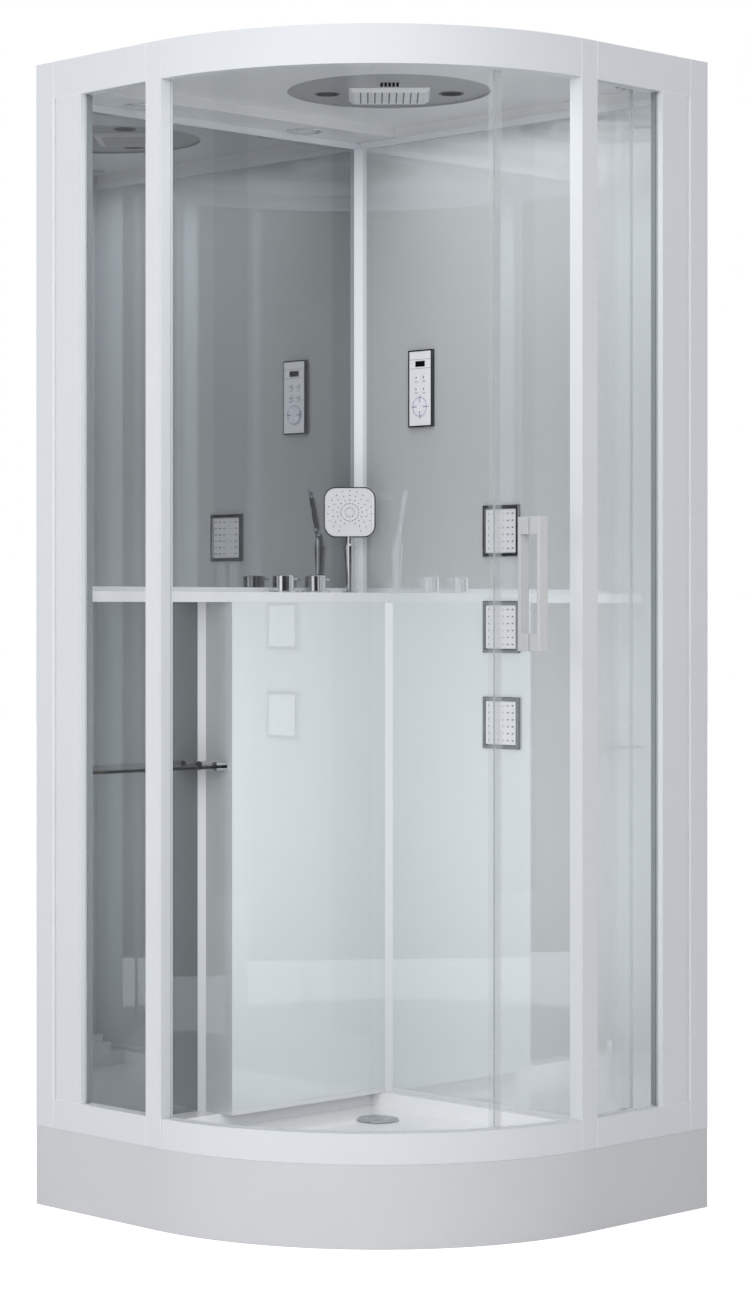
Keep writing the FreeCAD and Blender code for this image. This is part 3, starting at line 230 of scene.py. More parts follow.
# The beads' brighter coat is a painted highlight along the frame's seams.
bead_painted_highlight_coat = make_finish(
    "painted_highlight_bead_coat", "#F7FAFE", 0.3, relief=(3.5, 0.02), drift=("#F5F8FD", "#F9FCFF", 180))

handle_coat = make_finish(
    "moulded_white_abs", "#D7D8DB", 0.3, relief=(2.0, 0.02), drift=("#D5D6D9", "#D9DADC", 60))

jet_abs = make_finish(
    "satin_white_abs", "#D6D7DB", 0.42, relief=(1.5, 0.03), drift=("#D3D4D8", "#D9DADD", 40))

spray_silicone = make_finish(
    "grey_spray_silicone", "#67696D", 0.5, relief=(1.0, 0.02), drift=("#626468", "#6D6F73", 15))
print("white finishes:", powder_coat.name, acrylic.name, roof_abs.name, jet_abs.name)

# %% [markdown]
# Clear glass lets the lamps through. A path tracer finds a lamp behind glass only by luck, so
# shadow rays and diffuse rays pass straight through with a slight tint, while the eye's own rays
# meet the glass itself. Its index of refraction is lower than real glass has, because a product
# picture keeps its panes nearly free of reflections. The polished edge of a pane and the thin
# vinyl seals scatter light many times inside, which only gives noise here, so they are milky
# finishes that let part of the light through.

# %% Glass
PANE_IOR = 1.2


def clear_pane(name, base, roughness, shade, ior=1.5):
    """Transmitting material whose shadow and diffuse rays go straight through, tinted by shade."""
    material, tree, shader = start_finish(name, base, roughness, Transmission_Weight=1.0, IOR=ior)
    path = add_node(tree, "ShaderNodeLightPath")
    passes = add_node(tree, "ShaderNodeMath", {
        0: path.outputs["Is Shadow Ray"], 1: path.outputs["Is Diffuse Ray"],
    }, operation="MAXIMUM")
    through = add_node(tree, "ShaderNodeBsdfTransparent", {"Color": linear(shade)})
    both = add_node(tree, "ShaderNodeMixShader", {
        0: passes.outputs[0], 1: shader.outputs["BSDF"], 2: through.outputs["BSDF"],
    })
    tree.links.new(both.outputs[0], tree.nodes["Material Output"].inputs["Surface"])
    return material


float_glass = clear_pane("toughened_float_glass", "#FEFEFE", 0.0, "#FCFDFD", ior=PANE_IOR)
smoked_glass = clear_pane("smoked_glass", "#4A4F50", 0.02, "#6E7374")
glass_edge = make_finish(
    "polished_glass_edge", "#B4BFBF", 0.15, Alpha=0.4, drift=("#AFBAB9", "#B9C3C3", 40))
seal_vinyl = make_finish(
    "clear_vinyl_seal", "#D6DBDD", 0.15, Alpha=0.14, drift=("#D2D8DA", "#DADEE0", 40))
print("clear finishes:", float_glass.name, glass_edge.name, smoked_glass.name, seal_vinyl.name)

# %% [markdown]
# The walls are glass sheets painted on the back. A coat of metal under the paint makes them half
# mirrors: each wall shows the other one, and the hand shower and knobs appear twice. A shader
# that is part metal and part paint does that in one layer. The mirror image is the metal's share
# times the base colour, and the paint's share carries the plain tone.

# %% Back-painted glass
grey_glass = make_finish(
    "grey_mirror_glass", "#B5B8BA", 0.0, 0.92, drift=("#B3B6B8", "#B7BABC", 300))
niche_glass = make_finish(
    "grey_niche_glass", "#9FA3A5", 0.0, 0.9, drift=("#9DA1A4", "#A1A5A7", 300))
white_glass = make_finish(
    "white_mirror_glass", "#E3E8EA", 0.0, 0.4, drift=("#E2E7E9", "#E5E9EB", 300))
white_panel_glass = make_finish(
    "white_column_glass", "#DDE2E4", 0.0, 0.22, drift=("#DBE0E3", "#DFE4E5", 300))
print("wall finishes:", grey_glass.name, white_glass.name, white_panel_glass.name)

# %% [markdown]
# Chromed brass is mirror smooth, with faint marks where water has dried. The jets' frames are a
# greyer chrome, whose darker tone is a painted reflection of the dark that their rolled edges
# mirror, and the control panel's rim is a dark one. Steel that nobody sees is galvanised, and its
# crystals are drawn as cells about eight millimetres across.

# %% Metals
chrome = make_finish("polished_chrome", "#DCDEE0", 0.05, 1.0, wear=(0.03, 0.1, 12))
dark_chrome = make_finish("dark_chrome", "#626467", 0.06, 1.0, wear=(0.05, 0.14, 10))
jet_chrome_painted_reflection = make_finish("grey_jet_chrome_painted_reflection", "#A4A6A9", 0.05, 1.0, wear=(0.04, 0.1, 10))

satin_chrome = make_finish(
    "satin_chrome", "#C4C6C8", 0.22, 1.0, relief=(2.5, 0.01), wear=(0.16, 0.3, 8))

steel = make_finish(
    "stainless_steel", "#B9BBBC", 0.28, 1.0,
    relief=(1.5, 0.01, (1, 1, 8)), wear=(0.2, 0.38, 4, (1, 1, 8)))

brass = make_finish(
    "cast_brass", "#B99A62", 0.42, 1.0, relief=(1.6, 0.12), drift=("#A98C58", "#C6A76E", 14))

silver_face = make_finish(
    "brushed_silver_face", "#F2F3F8", 0.36, 0.06,
    relief=(0.8, 0.01, (16, 1, 1)), wear=(0.3, 0.44, 3, (14, 1, 1)))

galvanised, tree, shader = start_finish("galvanised_steel", "#9DA1A4", 0.42, 1.0)
SPANGLE = 8
where = add_node(tree, "ShaderNodeTexCoord")
cells = add_node(tree, "ShaderNodeTexVoronoi", {
    "Vector": where.outputs["Object"], "Scale": 1 / (SPANGLE * MM),
})
spangle = add_node(tree, "ShaderNodeMix", {
    MIX_FACTOR: cells.outputs["Distance"], MIX_A: linear("#8D9295"), MIX_B: linear("#B3B7BA"),
}, data_type="RGBA")
tree.links.new(spangle.outputs[MIX_RESULT], shader.inputs["Base Color"])
print("metals:", chrome.name, dark_chrome.name, steel.name, brass.name, galvanised.name)

# %% [markdown]
# What is left is plastic and rubber: grey seals in the glazing grooves, the waste's
# polypropylene, black moulded feet, black bars that paint the shade inside the fan's slots,
# nylon wheels, the lamps' frosted lenses, and the panel's black display and printed marks.

# %% Plastics and rubber
seal_rubber = make_finish(
    "grey_glazing_rubber", "#8C9395", 0.6, relief=(1.2, 0.05), drift=("#8A9193", "#90979A", 25))

waste_pp = make_finish(
    "grey_polypropylene", "#C2C4C3", 0.45, relief=(1.8, 0.06), drift=("#BBBDBC", "#C9CBCA", 30))

foot_plastic = make_finish(
    "black_moulded_nylon", "#232426", 0.5, relief=(1.5, 0.08), drift=("#1F2022", "#2A2B2D", 12))

black_plastic = make_finish(
    "black_satin_plastic", "#191A1C", 0.4, relief=(1.2, 0.03), drift=("#151618", "#1E1F21", 12))

# Black bars for the fan's slots: a painted shade for the dark inside the slots.
vent_slot_painted_shade = make_finish(
    "black_vent_slot_painted_shade", "#0F1011", 0.9, Specular_IOR_Level=0.1,
    relief=(0.8, 0.2), drift=("#0C0D0E", "#131415", 4))

wheel_nylon = make_finish(
    "natural_nylon", "#E4E0D3", 0.38, Subsurface_Weight=0.1,
    relief=(1.0, 0.02), drift=("#DFDBCD", "#E9E5D9", 6))

display_glass = make_finish(
    "black_display_glass", "#0B0C0E", 0.08, drift=("#090A0C", "#0E1013", 8), wear=(0.05, 0.12, 6))

lamp_lens = make_finish(
    "frosted_lens", "#E8EAEA", 0.5, Coat_Weight=0.5,
    relief=(2.0, 0.1), drift=("#E2E4E4", "#EEF0F0", 10))

key_print = make_finish(
    "printed_key_mark", "#3E4145", 0.55, relief=(0.6, 0.01), drift=("#393C40", "#44474B", 5))

dial_print = make_finish(
    "printed_dial_mark", "#57569A", 0.5, relief=(0.6, 0.01), drift=("#504F92", "#5E5DA2", 5))
print("plastics and rubber done:", len(bpy.data.materials), "materials so far")

# %% [markdown]
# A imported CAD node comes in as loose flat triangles. To give it soft edges, a copy is welded,
# its flat faces are joined into whole ones, and a Bevel modifier rounds what is sharper than
# 30 degrees. The copy replaces the node in the picture, while the node stays for collision.
# Real extrusions have edge radii of half a millimetre or so: small, but they catch the light.

# %% Softened copies of the CAD nodes
WELD = 1e-5
FLAT_ANGLE = math.radians(0.5)
EDGE_ANGLE = math.radians(30)


def ride_as(piece, body, slot, *replaced):
    """Attaches the piece to the body it moves with and hides the nodes it stands for; slot is not
    used.
    """
    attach(piece, body)
    if replaced:
        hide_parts(*replaced)
    return piece


def shade_curves(shape):
    """Smooth shading for faces that bend gently into a neighbour, and flat shading for flats."""
    for edge in shape.edges:
        bend = edge.calc_face_angle(math.pi)
        edge.smooth = bend < EDGE_ANGLE
        if FLAT_ANGLE < bend < EDGE_ANGLE:
            for face in edge.link_faces:
                face.smooth = True


def add_piece(name, shape, *materials):
    """A new object at the origin from a bmesh, shaded as its faces ask."""
    for face in shape.faces:
        face.smooth = False
    shade_curves(shape)
    mesh = bpy.data.meshes.new(name)
    shape.to_mesh(mesh)
    shape.free()
    for material in materials:
        mesh.materials.append(material)
    piece = bpy.data.objects.new(name, mesh)
    bpy.context.scene.collection.objects.link(piece)
    return piece


def round_edges(piece, width, segments=2):
    """Rounds every edge sharper than EDGE_ANGLE by width mm, and keeps the flats flat."""
    bevel = piece.modifiers.new("soft_edges", "BEVEL")
    bevel.limit_method = "ANGLE"
    bevel.angle_limit = EDGE_ANGLE
    bevel.width = width * MM
    bevel.segments = segments
    bevel.harden_normals = True
    return piece


def join_rings(batch, rings, closed=False):
    """Joins rings of corners in a row, and caps both ends or closes the row on itself."""
    following = rings[1:] + (rings[:1] if closed else [])
    for near, far in zip(rings, following):
        for j in range(len(near)):
            k = (j + 1) % len(near)
            batch.faces.new((near[j], near[k], far[k], far[j]))
    if not closed:
        batch.faces.new(rings[0][::-1])
        batch.faces.new(rings[-1])


def outwards(batch):
    """Turns every face of a batch outwards."""
    bmesh.ops.recalc_face_normals(batch, faces=batch.faces)
    return batch


def welded(node):
    """A bmesh copy of a CAD node with shared corners and whole flat faces."""
    copy = bmesh.new()
    copy.from_mesh(frame["nodes"][node].data)
    bmesh.ops.remove_doubles(copy, verts=copy.verts, dist=WELD)
    bmesh.ops.dissolve_limit(
        copy, angle_limit=FLAT_ANGLE, verts=copy.verts, edges=copy.edges, delimit=set()
    )
    return copy


def soften(rows):
    """Softens the nodes of each row, given as (finish, slot, edge radius in mm, nodes)."""
    for material, slot, width, nodes in rows:
        for node in nodes:
            piece = round_edges(add_piece("soft_" + node, welded(node), material), width)
            ride_as(piece, node_body[node], slot, node)
    print(sum(len(nodes) for *_, nodes in rows), "softened nodes")


SOFTENED = [
    (powder_coat, "white_frame", 0.35, [
        "bottom_rail_curved", "bottom_rails_side", "top_rail_curved", "top_rails_side",
        "posts", "wall_profiles", "rear_corner_post", "lower_track", "upper_track",
    ]),
    (acrylic, "acrylic_white", 1.5, ["tray"]),
    (apron_acrylic_painted_shade, "acrylic_white", 1.5, ["tray_apron"]),
    (ledge_acrylic, "ledge_white", 1.2, ["ledge"]),
    (handle_coat, "white_handle", 1.5, ["door_handle_outer", "door_handle_inner"]),
    (grey_glass, "grey_glass", 0.4, ["wall_left_upper"]),
    (niche_glass, "grey_glass", 0.4, ["wall_left_niche"]),
    (white_glass, "white_glass", 0.4, ["wall_right"]),
    (white_panel_glass, "white_glass", 0.4, ["column_front_panel", "column_side_panel"]),
    (smoked_glass, "shelf_glass", 0.5, ["shelf"]),
    (float_glass, "clear_glass", 0.3, ["fixed_glasses"]),
    (dark_chrome, "dark_chrome", 0.6, ["panel_housing"]),
    (silver_face, "panel_silver", 0.4, ["panel_face"]),
    (chrome, "chrome", 0.8, ["knob_mixer", "knob_diverter", "ledge_fittings"]),
    (chrome, "satin_chrome", 0.5, ["shelf_clips"]),
    (jet_abs, "jet_white", 0.8, ["jet_plates"]),
    (black_plastic, "black_plastic", 0.8, ["jet_bodies", "vent_fan_housing"]),
]
soften(SOFTENED)

# %% [markdown]
# The roof is one moulding. Its round recess is painted a few shades greyer than the rest: a
# painted shade for the shade inside the shallow recess. One piece can carry two finishes: the
# faces that lie inside the recess take the second one.

# %% Roof
RECESS = at(424, 375, 0)
RECESS_REACH = 196.5
RECESS_LOW, RECESS_HIGH = 2124.2, 2128.5


def in_recess(face):
    """True for a face that lies inside the roof's round recess."""
    middle = face.calc_center_median()
    near = (middle - RECESS).xy.length < RECESS_REACH * MM
    return near and RECESS_LOW * MM < middle.z < RECESS_HIGH * MM


def two_toned(node, slot, second_tone, width, *materials):
    """Softens a node whose faces take the second finish where second_tone says so."""
    shape = welded(node)
    for face in shape.faces:
        face.material_index = int(second_tone(face))
    print(node, "has", sum(face.material_index for face in shape.faces), "faces in a second tone")
    piece = round_edges(add_piece("soft_" + node, shape, *materials), width)
    ride_as(piece, node_body[node], slot, node)


two_toned("roof_shell", "roof_white", in_recess, 1.0, roof_abs, recess_painted_shade_abs)

# %% [markdown]
# Where two profiles meet, a narrow rolled bead covers the seam. It stands half a millimetre
# proud, and its coat is a touch brighter than the flats: a painted highlight that draws the thin
# light lines of lit edges that make the frame read as separate profiles. Each has a place and a
# width along the side, and two heights.

# %% Seam beads
BEAD_PROUD, BEAD_DEEP = 0.5, 3.5
SIDE_FACE = 2 * HALF_SIDE
RAIL_FOOT, STILE_FOOT, STILE_HEAD, RAIL_HEAD = 150, 205, 2095, 2165
PROFILE_SEAM, STILE_END, POST_SEAM, ARC_SEAM = 50.8, 132.7, 317.2, 360
LEVEL_HALF = 0.7
BEADS = [(PROFILE_SEAM, 4.4, STILE_FOOT, STILE_HEAD)]
for seam, wide in ((PROFILE_SEAM, 1.0), (POST_SEAM, 1.2), (ARC_SEAM, 1.8)):
    BEADS += [(seam, wide, RAIL_FOOT, STILE_FOOT), (seam, wide, STILE_HEAD, RAIL_HEAD)]
for level in (STILE_FOOT, STILE_HEAD):
    middle, wide = (PROFILE_SEAM + STILE_END) / 2, STILE_END - PROFILE_SEAM
    BEADS.append((middle, wide, level - LEVEL_HALF, level + LEVEL_HALF))


def side_bar(batch, flip, along, wide, low, high):
    """A bar on one open side of the cabin, centred at a place along that side."""
    rings = []
    for z in (low, high):
        ring = []
        for step, deep in ((-1, -BEAD_PROUD), (1, -BEAD_PROUD), (1, BEAD_DEEP), (-1, BEAD_DEEP)):
            place = (along + step * wide / 2, SIDE_FACE - deep)
            ring.append(batch.verts.new(at(*(place[::-1] if flip else place), z)))
        rings.append(ring)
    join_rings(batch, rings)


bars = bmesh.new()
for flip in (False, True):
    for along, wide, low, high in BEADS:
        side_bar(bars, flip, along, wide, low, high)
beads = round_edges(add_piece("seam_beads", outwards(bars), bead_painted_highlight_coat), 0.3)
ride_as(beads, "root", "white_frame")
print("beads:", 2 * len(BEADS))

# %% [markdown]
# Each stile holds its pane in a groove lined with rubber. The same grey rubber is also laid on the
# side of the stile that stands behind the glass, as a painted shade for the inside of the groove,
# so the pane ends in a dark line and not in a white one. The trim strips are acrylic like the
# ledge below it, and coated like the frame above it.

# %% Stiles and trim strips
PANE_BACK = 17.5
SIDE_SLACK = 0.5
LEDGE_TOP = 1168


def behind_pane_painted_shade(face):
    """True for the side of a stile that looks along its pane from behind the glass."""
    middle = face.calc_center_median()
    half = HALF_SIDE * MM
    for along, deep in ((middle.x + half, middle.y + half), (half - middle.y, half - middle.x)):
        if abs(along - STILE_END * MM) < SIDE_SLACK * MM and deep > PANE_BACK * MM:
            return True
    return False


def below_ledge(face):
    """True for a face lower than the ledge's top."""
    return face.calc_center_median().z < LEDGE_TOP * MM


# The stiles' faces behind the glass take the grey rubber as a painted shade for the groove.
two_toned("stiles", "white_frame", behind_pane_painted_shade, 0.35, powder_coat, seal_rubber)
two_toned("wall_trims", "white_trim", below_ledge, 0.4, powder_coat, ledge_acrylic)

# %% [markdown]
# Clear parts, metal stock and moulded plastic need only the same treatment with other finishes:
# the seals on the door, the rubber that holds the panes, the wheels and brackets of the door,
# and the waste, frame and valves that the tray and the ledge hide.

# %% Seals, running gear and hidden parts
MORE_SOFTENED = [
    (seal_vinyl, "clear_seal", 0.15, ["door_lead_seal", "door_trail_seal"]),
    (seal_rubber, "seal_rubber", 0.3, ["glazing_seals"]),
    (satin_chrome, "satin_chrome", 0.5, ["door_brackets"]),
    (steel, "fixing_steel", 0.4, ["handle_screws"]),
    (wheel_nylon, "roller_nylon", 0.6, ["roller_lead", "roller_trail"]),
    (galvanised, "galvanised_steel", 1.2, ["tray_frame"]),
    (foot_plastic, "foot_plastic", 1.2, ["tray_feet"]),
    (waste_pp, "waste_plastic", 0.8, ["drain_trap", "waste_pipe"]),
    (brass, "brass", 1.0, ["valve_bodies"]),
    (silver_face, "panel_silver", 0.3, ["key_1", "key_2", "key_3", "key_4", "key_ring"]),
    (foot_plastic, "black_plastic", 0.2, ["vent_impeller"]),
]
soften(MORE_SOFTENED)

# %% [markdown]
# The door and the fixed front pane are bent about one upright axis. CAD meshes bend them in
# steps of almost five degrees, and a step that coarse shows as a kink in every reflection. The
# new panes take their radii, angles and heights from the CAD nodes and use steps of half a
# degree. The faces are clear glass and the narrow edges take the greener edge finish.

# %% Bent panes
BEND_STEP = math.radians(0.5)
BROAD_FACE = 0.7


def span_of(node):
    """The radii, angles and heights that a bent node spans about the cabin's arc."""
    corners = [v.co - ARC_CENTRE for v in frame["nodes"][node].data.vertices]
    radii = [math.hypot(c.x, c.y) for c in corners]
    angles = [math.atan2(c.y, c.x) for c in corners]
    heights = [c.z for c in corners]
    return (min(radii), max(radii)), (min(angles), max(angles)), (min(heights), max(heights))


def bent_pane(node):
    """A pane swept about the arc over a node's span, with the edge finish on its narrow sides."""
    (inner, outer), (start, end), (low, high) = span_of(node)
    section = ((inner, low), (outer, low), (outer, high), (inner, high))
    count = math.ceil((end - start) / BEND_STEP)
    pane = bmesh.new()
    rings = []
    for i in range(count + 1):
        turn = start + (end - start) * i / count
        rings.append([
            pane.verts.new(ARC_CENTRE + Vector((r * math.cos(turn), r * math.sin(turn), z)))
            for r, z in section
        ])
    join_rings(pane, rings)
    for face in outwards(pane).faces:
        out = (face.calc_center_median() - ARC_CENTRE) * Vector((1, 1, 0))
        face.material_index = int(abs(face.normal.dot(out.normalized())) <= BROAD_FACE)
    piece = round_edges(add_piece("bent_" + node, pane, float_glass, glass_edge), 0.4)
    ride_as(piece, node_body[node], "clear_glass", node)
    print(node, "has radius", round(outer, 4), "and", count, "steps")


for node in ("door_glass", "curved_glass_fixed"):
    bent_pane(node)

# %% [markdown]
# Small things that repeat are grown by Geometry Nodes. The first tree sets short cones on a
# grid: the nozzles of a body jet, or the holes of a grille. A limit on the distance from the
# centre makes a round field of a square one. The second sets them along an arc, for the rings
# of nozzles on the hand shower. The third sets bars in a row, for the overhead shower's slots
# and for the black bars that paint the shade in the fan's slots. All end in Realize Instances
# and Set Material.

# %% Trees that repeat a nozzle
NOZZLE_SIDES = 10
ARC_STEPS = 64
SOCKETS = {int: "NodeSocketInt", float: "NodeSocketFloat"}


def start_tree(name, sizes):
    """A geometry tree with one named input for each size, and a material."""
    tree = bpy.data.node_groups.new(name, "GeometryNodeTree")
    for label, kind in sizes.items():
        tree.interface.new_socket(name=label, in_out="INPUT", socket_type=SOCKETS[kind])
    tree.interface.new_socket(name="Finish", in_out="INPUT", socket_type="NodeSocketMaterial")
    tree.interface.new_socket(name="Mesh", in_out="OUTPUT", socket_type="NodeSocketGeometry")
    return tree, add_node(tree, "NodeGroupInput").outputs


def nozzle_cone(tree, sizes):
    """The mesh of one nozzle, as a short cone."""
    cone = add_node(tree, "GeometryNodeMeshCone", {
        "Vertices": NOZZLE_SIDES, "Radius Top": sizes["Tip"], "Radius Bottom": sizes["Foot"],
        "Depth": sizes["Long"],
    })
    return cone.outputs["Mesh"]


def finish_tree(tree, sizes, points, shape):
    """Puts a shape on each point, makes it real and gives it its material."""
    placed = add_node(tree, "GeometryNodeInstanceOnPoints", {"Points": points, "Instance": shape})
    real = add_node(tree, "GeometryNodeRealizeInstances", {"Geometry": placed.outputs["Instances"]})
    coated = add_node(tree, "GeometryNodeSetMaterial", {
        "Geometry": real.outputs["Geometry"], "Material": sizes["Finish"],
    })
    add_node(tree, "NodeGroupOutput", {"Mesh": coated.outputs["Geometry"]})


field_tree, sizes = start_tree("nozzle_field", {
    "Columns": int, "Rows": int, "Pitch Across": float, "Pitch Up": float,
    "Reach": float, "Tip": float, "Foot": float, "Long": float,
})


def row_length(tree, count, pitch):
    """The full length of a row: one pitch less than the count."""
    gaps = add_node(tree, "ShaderNodeMath", {0: count, 1: 1.0}, operation="SUBTRACT")
    return add_node(tree, "ShaderNodeMath", {
        0: gaps.outputs[0], 1: pitch,
    }, operation="MULTIPLY").outputs[0]


grid = add_node(field_tree, "GeometryNodeMeshGrid", {
    "Size X": row_length(field_tree, sizes["Columns"], sizes["Pitch Across"]),
    "Size Y": row_length(field_tree, sizes["Rows"], sizes["Pitch Up"]),
    "Vertices X": sizes["Columns"], "Vertices Y": sizes["Rows"],
})
spot = add_node(field_tree, "GeometryNodeInputPosition")
distance = add_node(field_tree, "ShaderNodeVectorMath", {0: spot.outputs[0]}, operation="LENGTH")
outside = add_node(field_tree, "FunctionNodeCompare", {
    0: distance.outputs["Value"], 1: sizes["Reach"],
}, data_type="FLOAT", operation="GREATER_THAN")
kept = add_node(field_tree, "GeometryNodeDeleteGeometry", {
    "Geometry": grid.outputs["Mesh"], "Selection": outside.outputs[0],
}, domain="POINT")
finish_tree(field_tree, sizes, kept.outputs["Geometry"], nozzle_cone(field_tree, sizes))

ring_tree, sizes = start_tree("nozzle_ring", {
    "Count": int, "Radius": float, "From": float, "Sweep": float,
    "Tip": float, "Foot": float, "Long": float,
})
arc = add_node(ring_tree, "GeometryNodeCurveArc", {
    "Resolution": ARC_STEPS, "Radius": sizes["Radius"], "Start Angle": sizes["From"],
    "Sweep Angle": sizes["Sweep"],
})
dots = add_node(ring_tree, "GeometryNodeCurveToPoints", {
    "Curve": arc.outputs["Curve"], "Count": sizes["Count"],
}, mode="COUNT")
finish_tree(ring_tree, sizes, dots.outputs["Points"], nozzle_cone(ring_tree, sizes))

slot_tree, sizes = start_tree("slot_row", {
    "Count": int, "Pitch": float, "Wide": float, "Long": float, "Deep": float,
})
start = add_node(slot_tree, "ShaderNodeMath", {
    0: row_length(slot_tree, sizes["Count"], sizes["Pitch"]), 1: -0.5,
}, operation="MULTIPLY")
first = add_node(slot_tree, "ShaderNodeCombineXYZ", {"X": start.outputs[0]})
step = add_node(slot_tree, "ShaderNodeCombineXYZ", {"X": sizes["Pitch"]})
row = add_node(slot_tree, "GeometryNodeMeshLine", {
    "Count": sizes["Count"], "Start Location": first.outputs[0], "Offset": step.outputs[0],
})
bar_size = add_node(slot_tree, "ShaderNodeCombineXYZ", {
    "X": sizes["Wide"], "Y": sizes["Long"], "Z": sizes["Deep"],
})
bar = add_node(slot_tree, "GeometryNodeMeshCube", {"Size": bar_size.outputs[0]})
finish_tree(slot_tree, sizes, row.outputs["Mesh"], bar.outputs["Mesh"])
print("trees:", field_tree.name, ring_tree.name, slot_tree.name)

# %% [markdown]
# A tree only lives on a modifier. This runs it once on an empty carrier, keeps the plain mesh
# that comes out, and throws the carrier away. The mesh is then laid wherever it is needed.

# %% Running a tree


def grow(tree, finish, **sizes):
    """The plain mesh that a tree makes with these sizes, in metres."""
    carrier = bpy.data.objects.new(tree.name, bpy.data.meshes.new(tree.name))
    bpy.context.scene.collection.objects.link(carrier)
    modifier = carrier.modifiers.new("grow", "NODES")
    modifier.node_group = tree
    values = {name.replace("_", " "): value for name, value in sizes.items()}
    values["Finish"] = finish
    for item in tree.interface.items_tree:
        if item.in_out == "INPUT":
            modifier[item.identifier] = values[item.name]
    carrier.update_tag()
    settled = bpy.context.evaluated_depsgraph_get()
    mesh = bpy.data.meshes.new_from_object(carrier.evaluated_get(settled), depsgraph=settled)
    carrier.modifiers.remove(modifier)
    bpy.data.objects.remove(carrier)
    return mesh


def lay_grown(name, body, slot, tree, finish, places, **sizes):
    """One piece with the mesh that a tree grows laid at each place, given as a matrix."""
    mesh = grow(tree, finish, **sizes)
    batch = bmesh.new()
    for place in places:
        first = len(batch.verts)
        batch.from_mesh(mesh)
        batch.verts.ensure_lookup_table()
        bmesh.ops.transform(batch, matrix=place, verts=batch.verts[first:])
    print(name, "has", len(batch.faces), "faces")
    ride_as(add_piece(name, batch, finish), body, slot)


ACROSS_WALL = rotation(90, "X")
FACE_DOWN = rotation(180, "X")
print("a tree runs on an empty carrier")

# %% [markdown]
# Three square body jets sit on the right wall. Each has a chromed frame, mitred at its corners
# like a picture frame, round a white plate with six rows of six nozzles. The frame is drawn as
# one profile carried round four corners, because its rolled edge is what catches the light.

# %% Body jets
WALL_FACE = 42
JET_U = 413.5
JET_LEVELS = (904, 1095.5, 1287)
JET_HALF = (49, 52)
JET_PROFILE = [(0, 0), (0, 5), (0.4, 5.9), (1.3, 6.5), (6.1, 6.5), (7.2, 6.1), (8, 5.2), (8, 0)]
CORNERS = ((-1, -1), (1, -1), (1, 1), (-1, 1))
JET_FACE = 47
WHOLE_FIELD = 1.0


def mitred_frame(batch, u, z):
    """A frame whose profile is carried round four mitred corners."""
    wide, high = JET_HALF
    join_rings(batch, [
        [batch.verts.new(at(u + x * (wide - inset), WALL_FACE + proud, z + y * (high - inset)))
         for x, y in CORNERS]
        for inset, proud in JET_PROFILE
    ], closed=True)


frames = bmesh.new()
for level in JET_LEVELS:
    mitred_frame(frames, JET_U, level)
jet_frames = round_edges(add_piece("jet_frames_rolled", outwards(frames), jet_chrome_painted_reflection), 0.3)
ride_as(jet_frames, "root", "dark_chrome", "jet_frames")

lay_grown(
    "jet_nozzles", "root", "jet_white", field_tree, spray_silicone,
    [Matrix.Translation(at(JET_U, JET_FACE, level)) @ ACROSS_WALL for level in JET_LEVELS],
    Columns=6, Rows=6, Pitch_Across=0.0129, Pitch_Up=0.0139, Reach=WHOLE_FIELD,
    Tip=0.0012, Foot=0.0016, Long=0.0009)
print("jets:", len(JET_LEVELS))

# %% [markdown]
# Round fittings are turned: a list of radii and heights is spun about an upright axis. The
# waste has a low domed chrome cover, the two lamps in the roof have a chrome ring with a
# frosted lens, and the speakers are shallow dishes with a dark perforated middle.

# %% Turned fittings
TURN_STEPS = 64


def turn_up(batch, profile, centre):
    """Spins (radius, height) points in mm about the upright axis through centre, at height 0."""
    rings = []
    for radius, height in profile:
        ring = circle(radius, TURN_STEPS) if radius else [(0, 0)]
        rings.append([batch.verts.new(centre + Vector((x, y, height)) * MM) for x, y in ring])
    for near, far in zip(rings, rings[1:]):
        for i in range(TURN_STEPS):
            k = (i + 1) % TURN_STEPS
            quad = (near[i % len(near)], near[k % len(near)],
                    far[k % len(far)], far[i % len(far)])
            batch.faces.new(dict.fromkeys(quad))


def turned_piece(name, profile, centres, material):
    """One piece with the same turned shape at each centre."""
    batch = bmesh.new()
    for centre in centres:
        turn_up(batch, profile, centre)
    return round_edges(add_piece(name, outwards(batch), material), 0.25)


DRAIN = at(212, 192, 0)
COVER = [
    (0, 110), (18, 109.9), (32, 109.4), (39, 108.5), (42, 107.2), (43, 105.8), (42.6, 105),
    (27, 105), (27, 84), (0, 84),
]
cover = turned_piece("domed_waste_cover", COVER, [DRAIN], satin_chrome)
ride_as(cover, "waste_cover", "satin_chrome", "drain_cover")

LAMPS = [at(52, 244, 0), at(52, 682, 0)]
LAMP_RING = [
    (0, 2104.7), (30, 2104.7), (30, 2103), (31, 2102.3), (33, 2102), (35.6, 2102.4), (37, 2103.6),
    (37, 2105), (26, 2105), (26, 2129), (0, 2129),
]
LAMP_LENS = [(0, 2103.4), (20, 2103.6), (28, 2104), (29.6, 2104.5), (0, 2104.5)]
ride_as(turned_piece("lamp_rings", LAMP_RING, LAMPS, chrome), "root", "satin_chrome", "downlights")
ride_as(turned_piece("lamp_lenses", LAMP_LENS, LAMPS, lamp_lens), "root", "jet_white")
print("turned: cover, 2 lamp rings, 2 lenses")

# %% [markdown]
# The roof's round recess holds the overhead shower, the fan's slots and two speakers. The
# overhead shower is a flat square with a sloping rim, set square to the entrance. It is lofted,
# which means that a skin is drawn through a stack of outlines. Its nine rubber-lipped slots read
# as dark lines from below. Black bars in the fan's slots are a painted shade for the dark inside
# them.

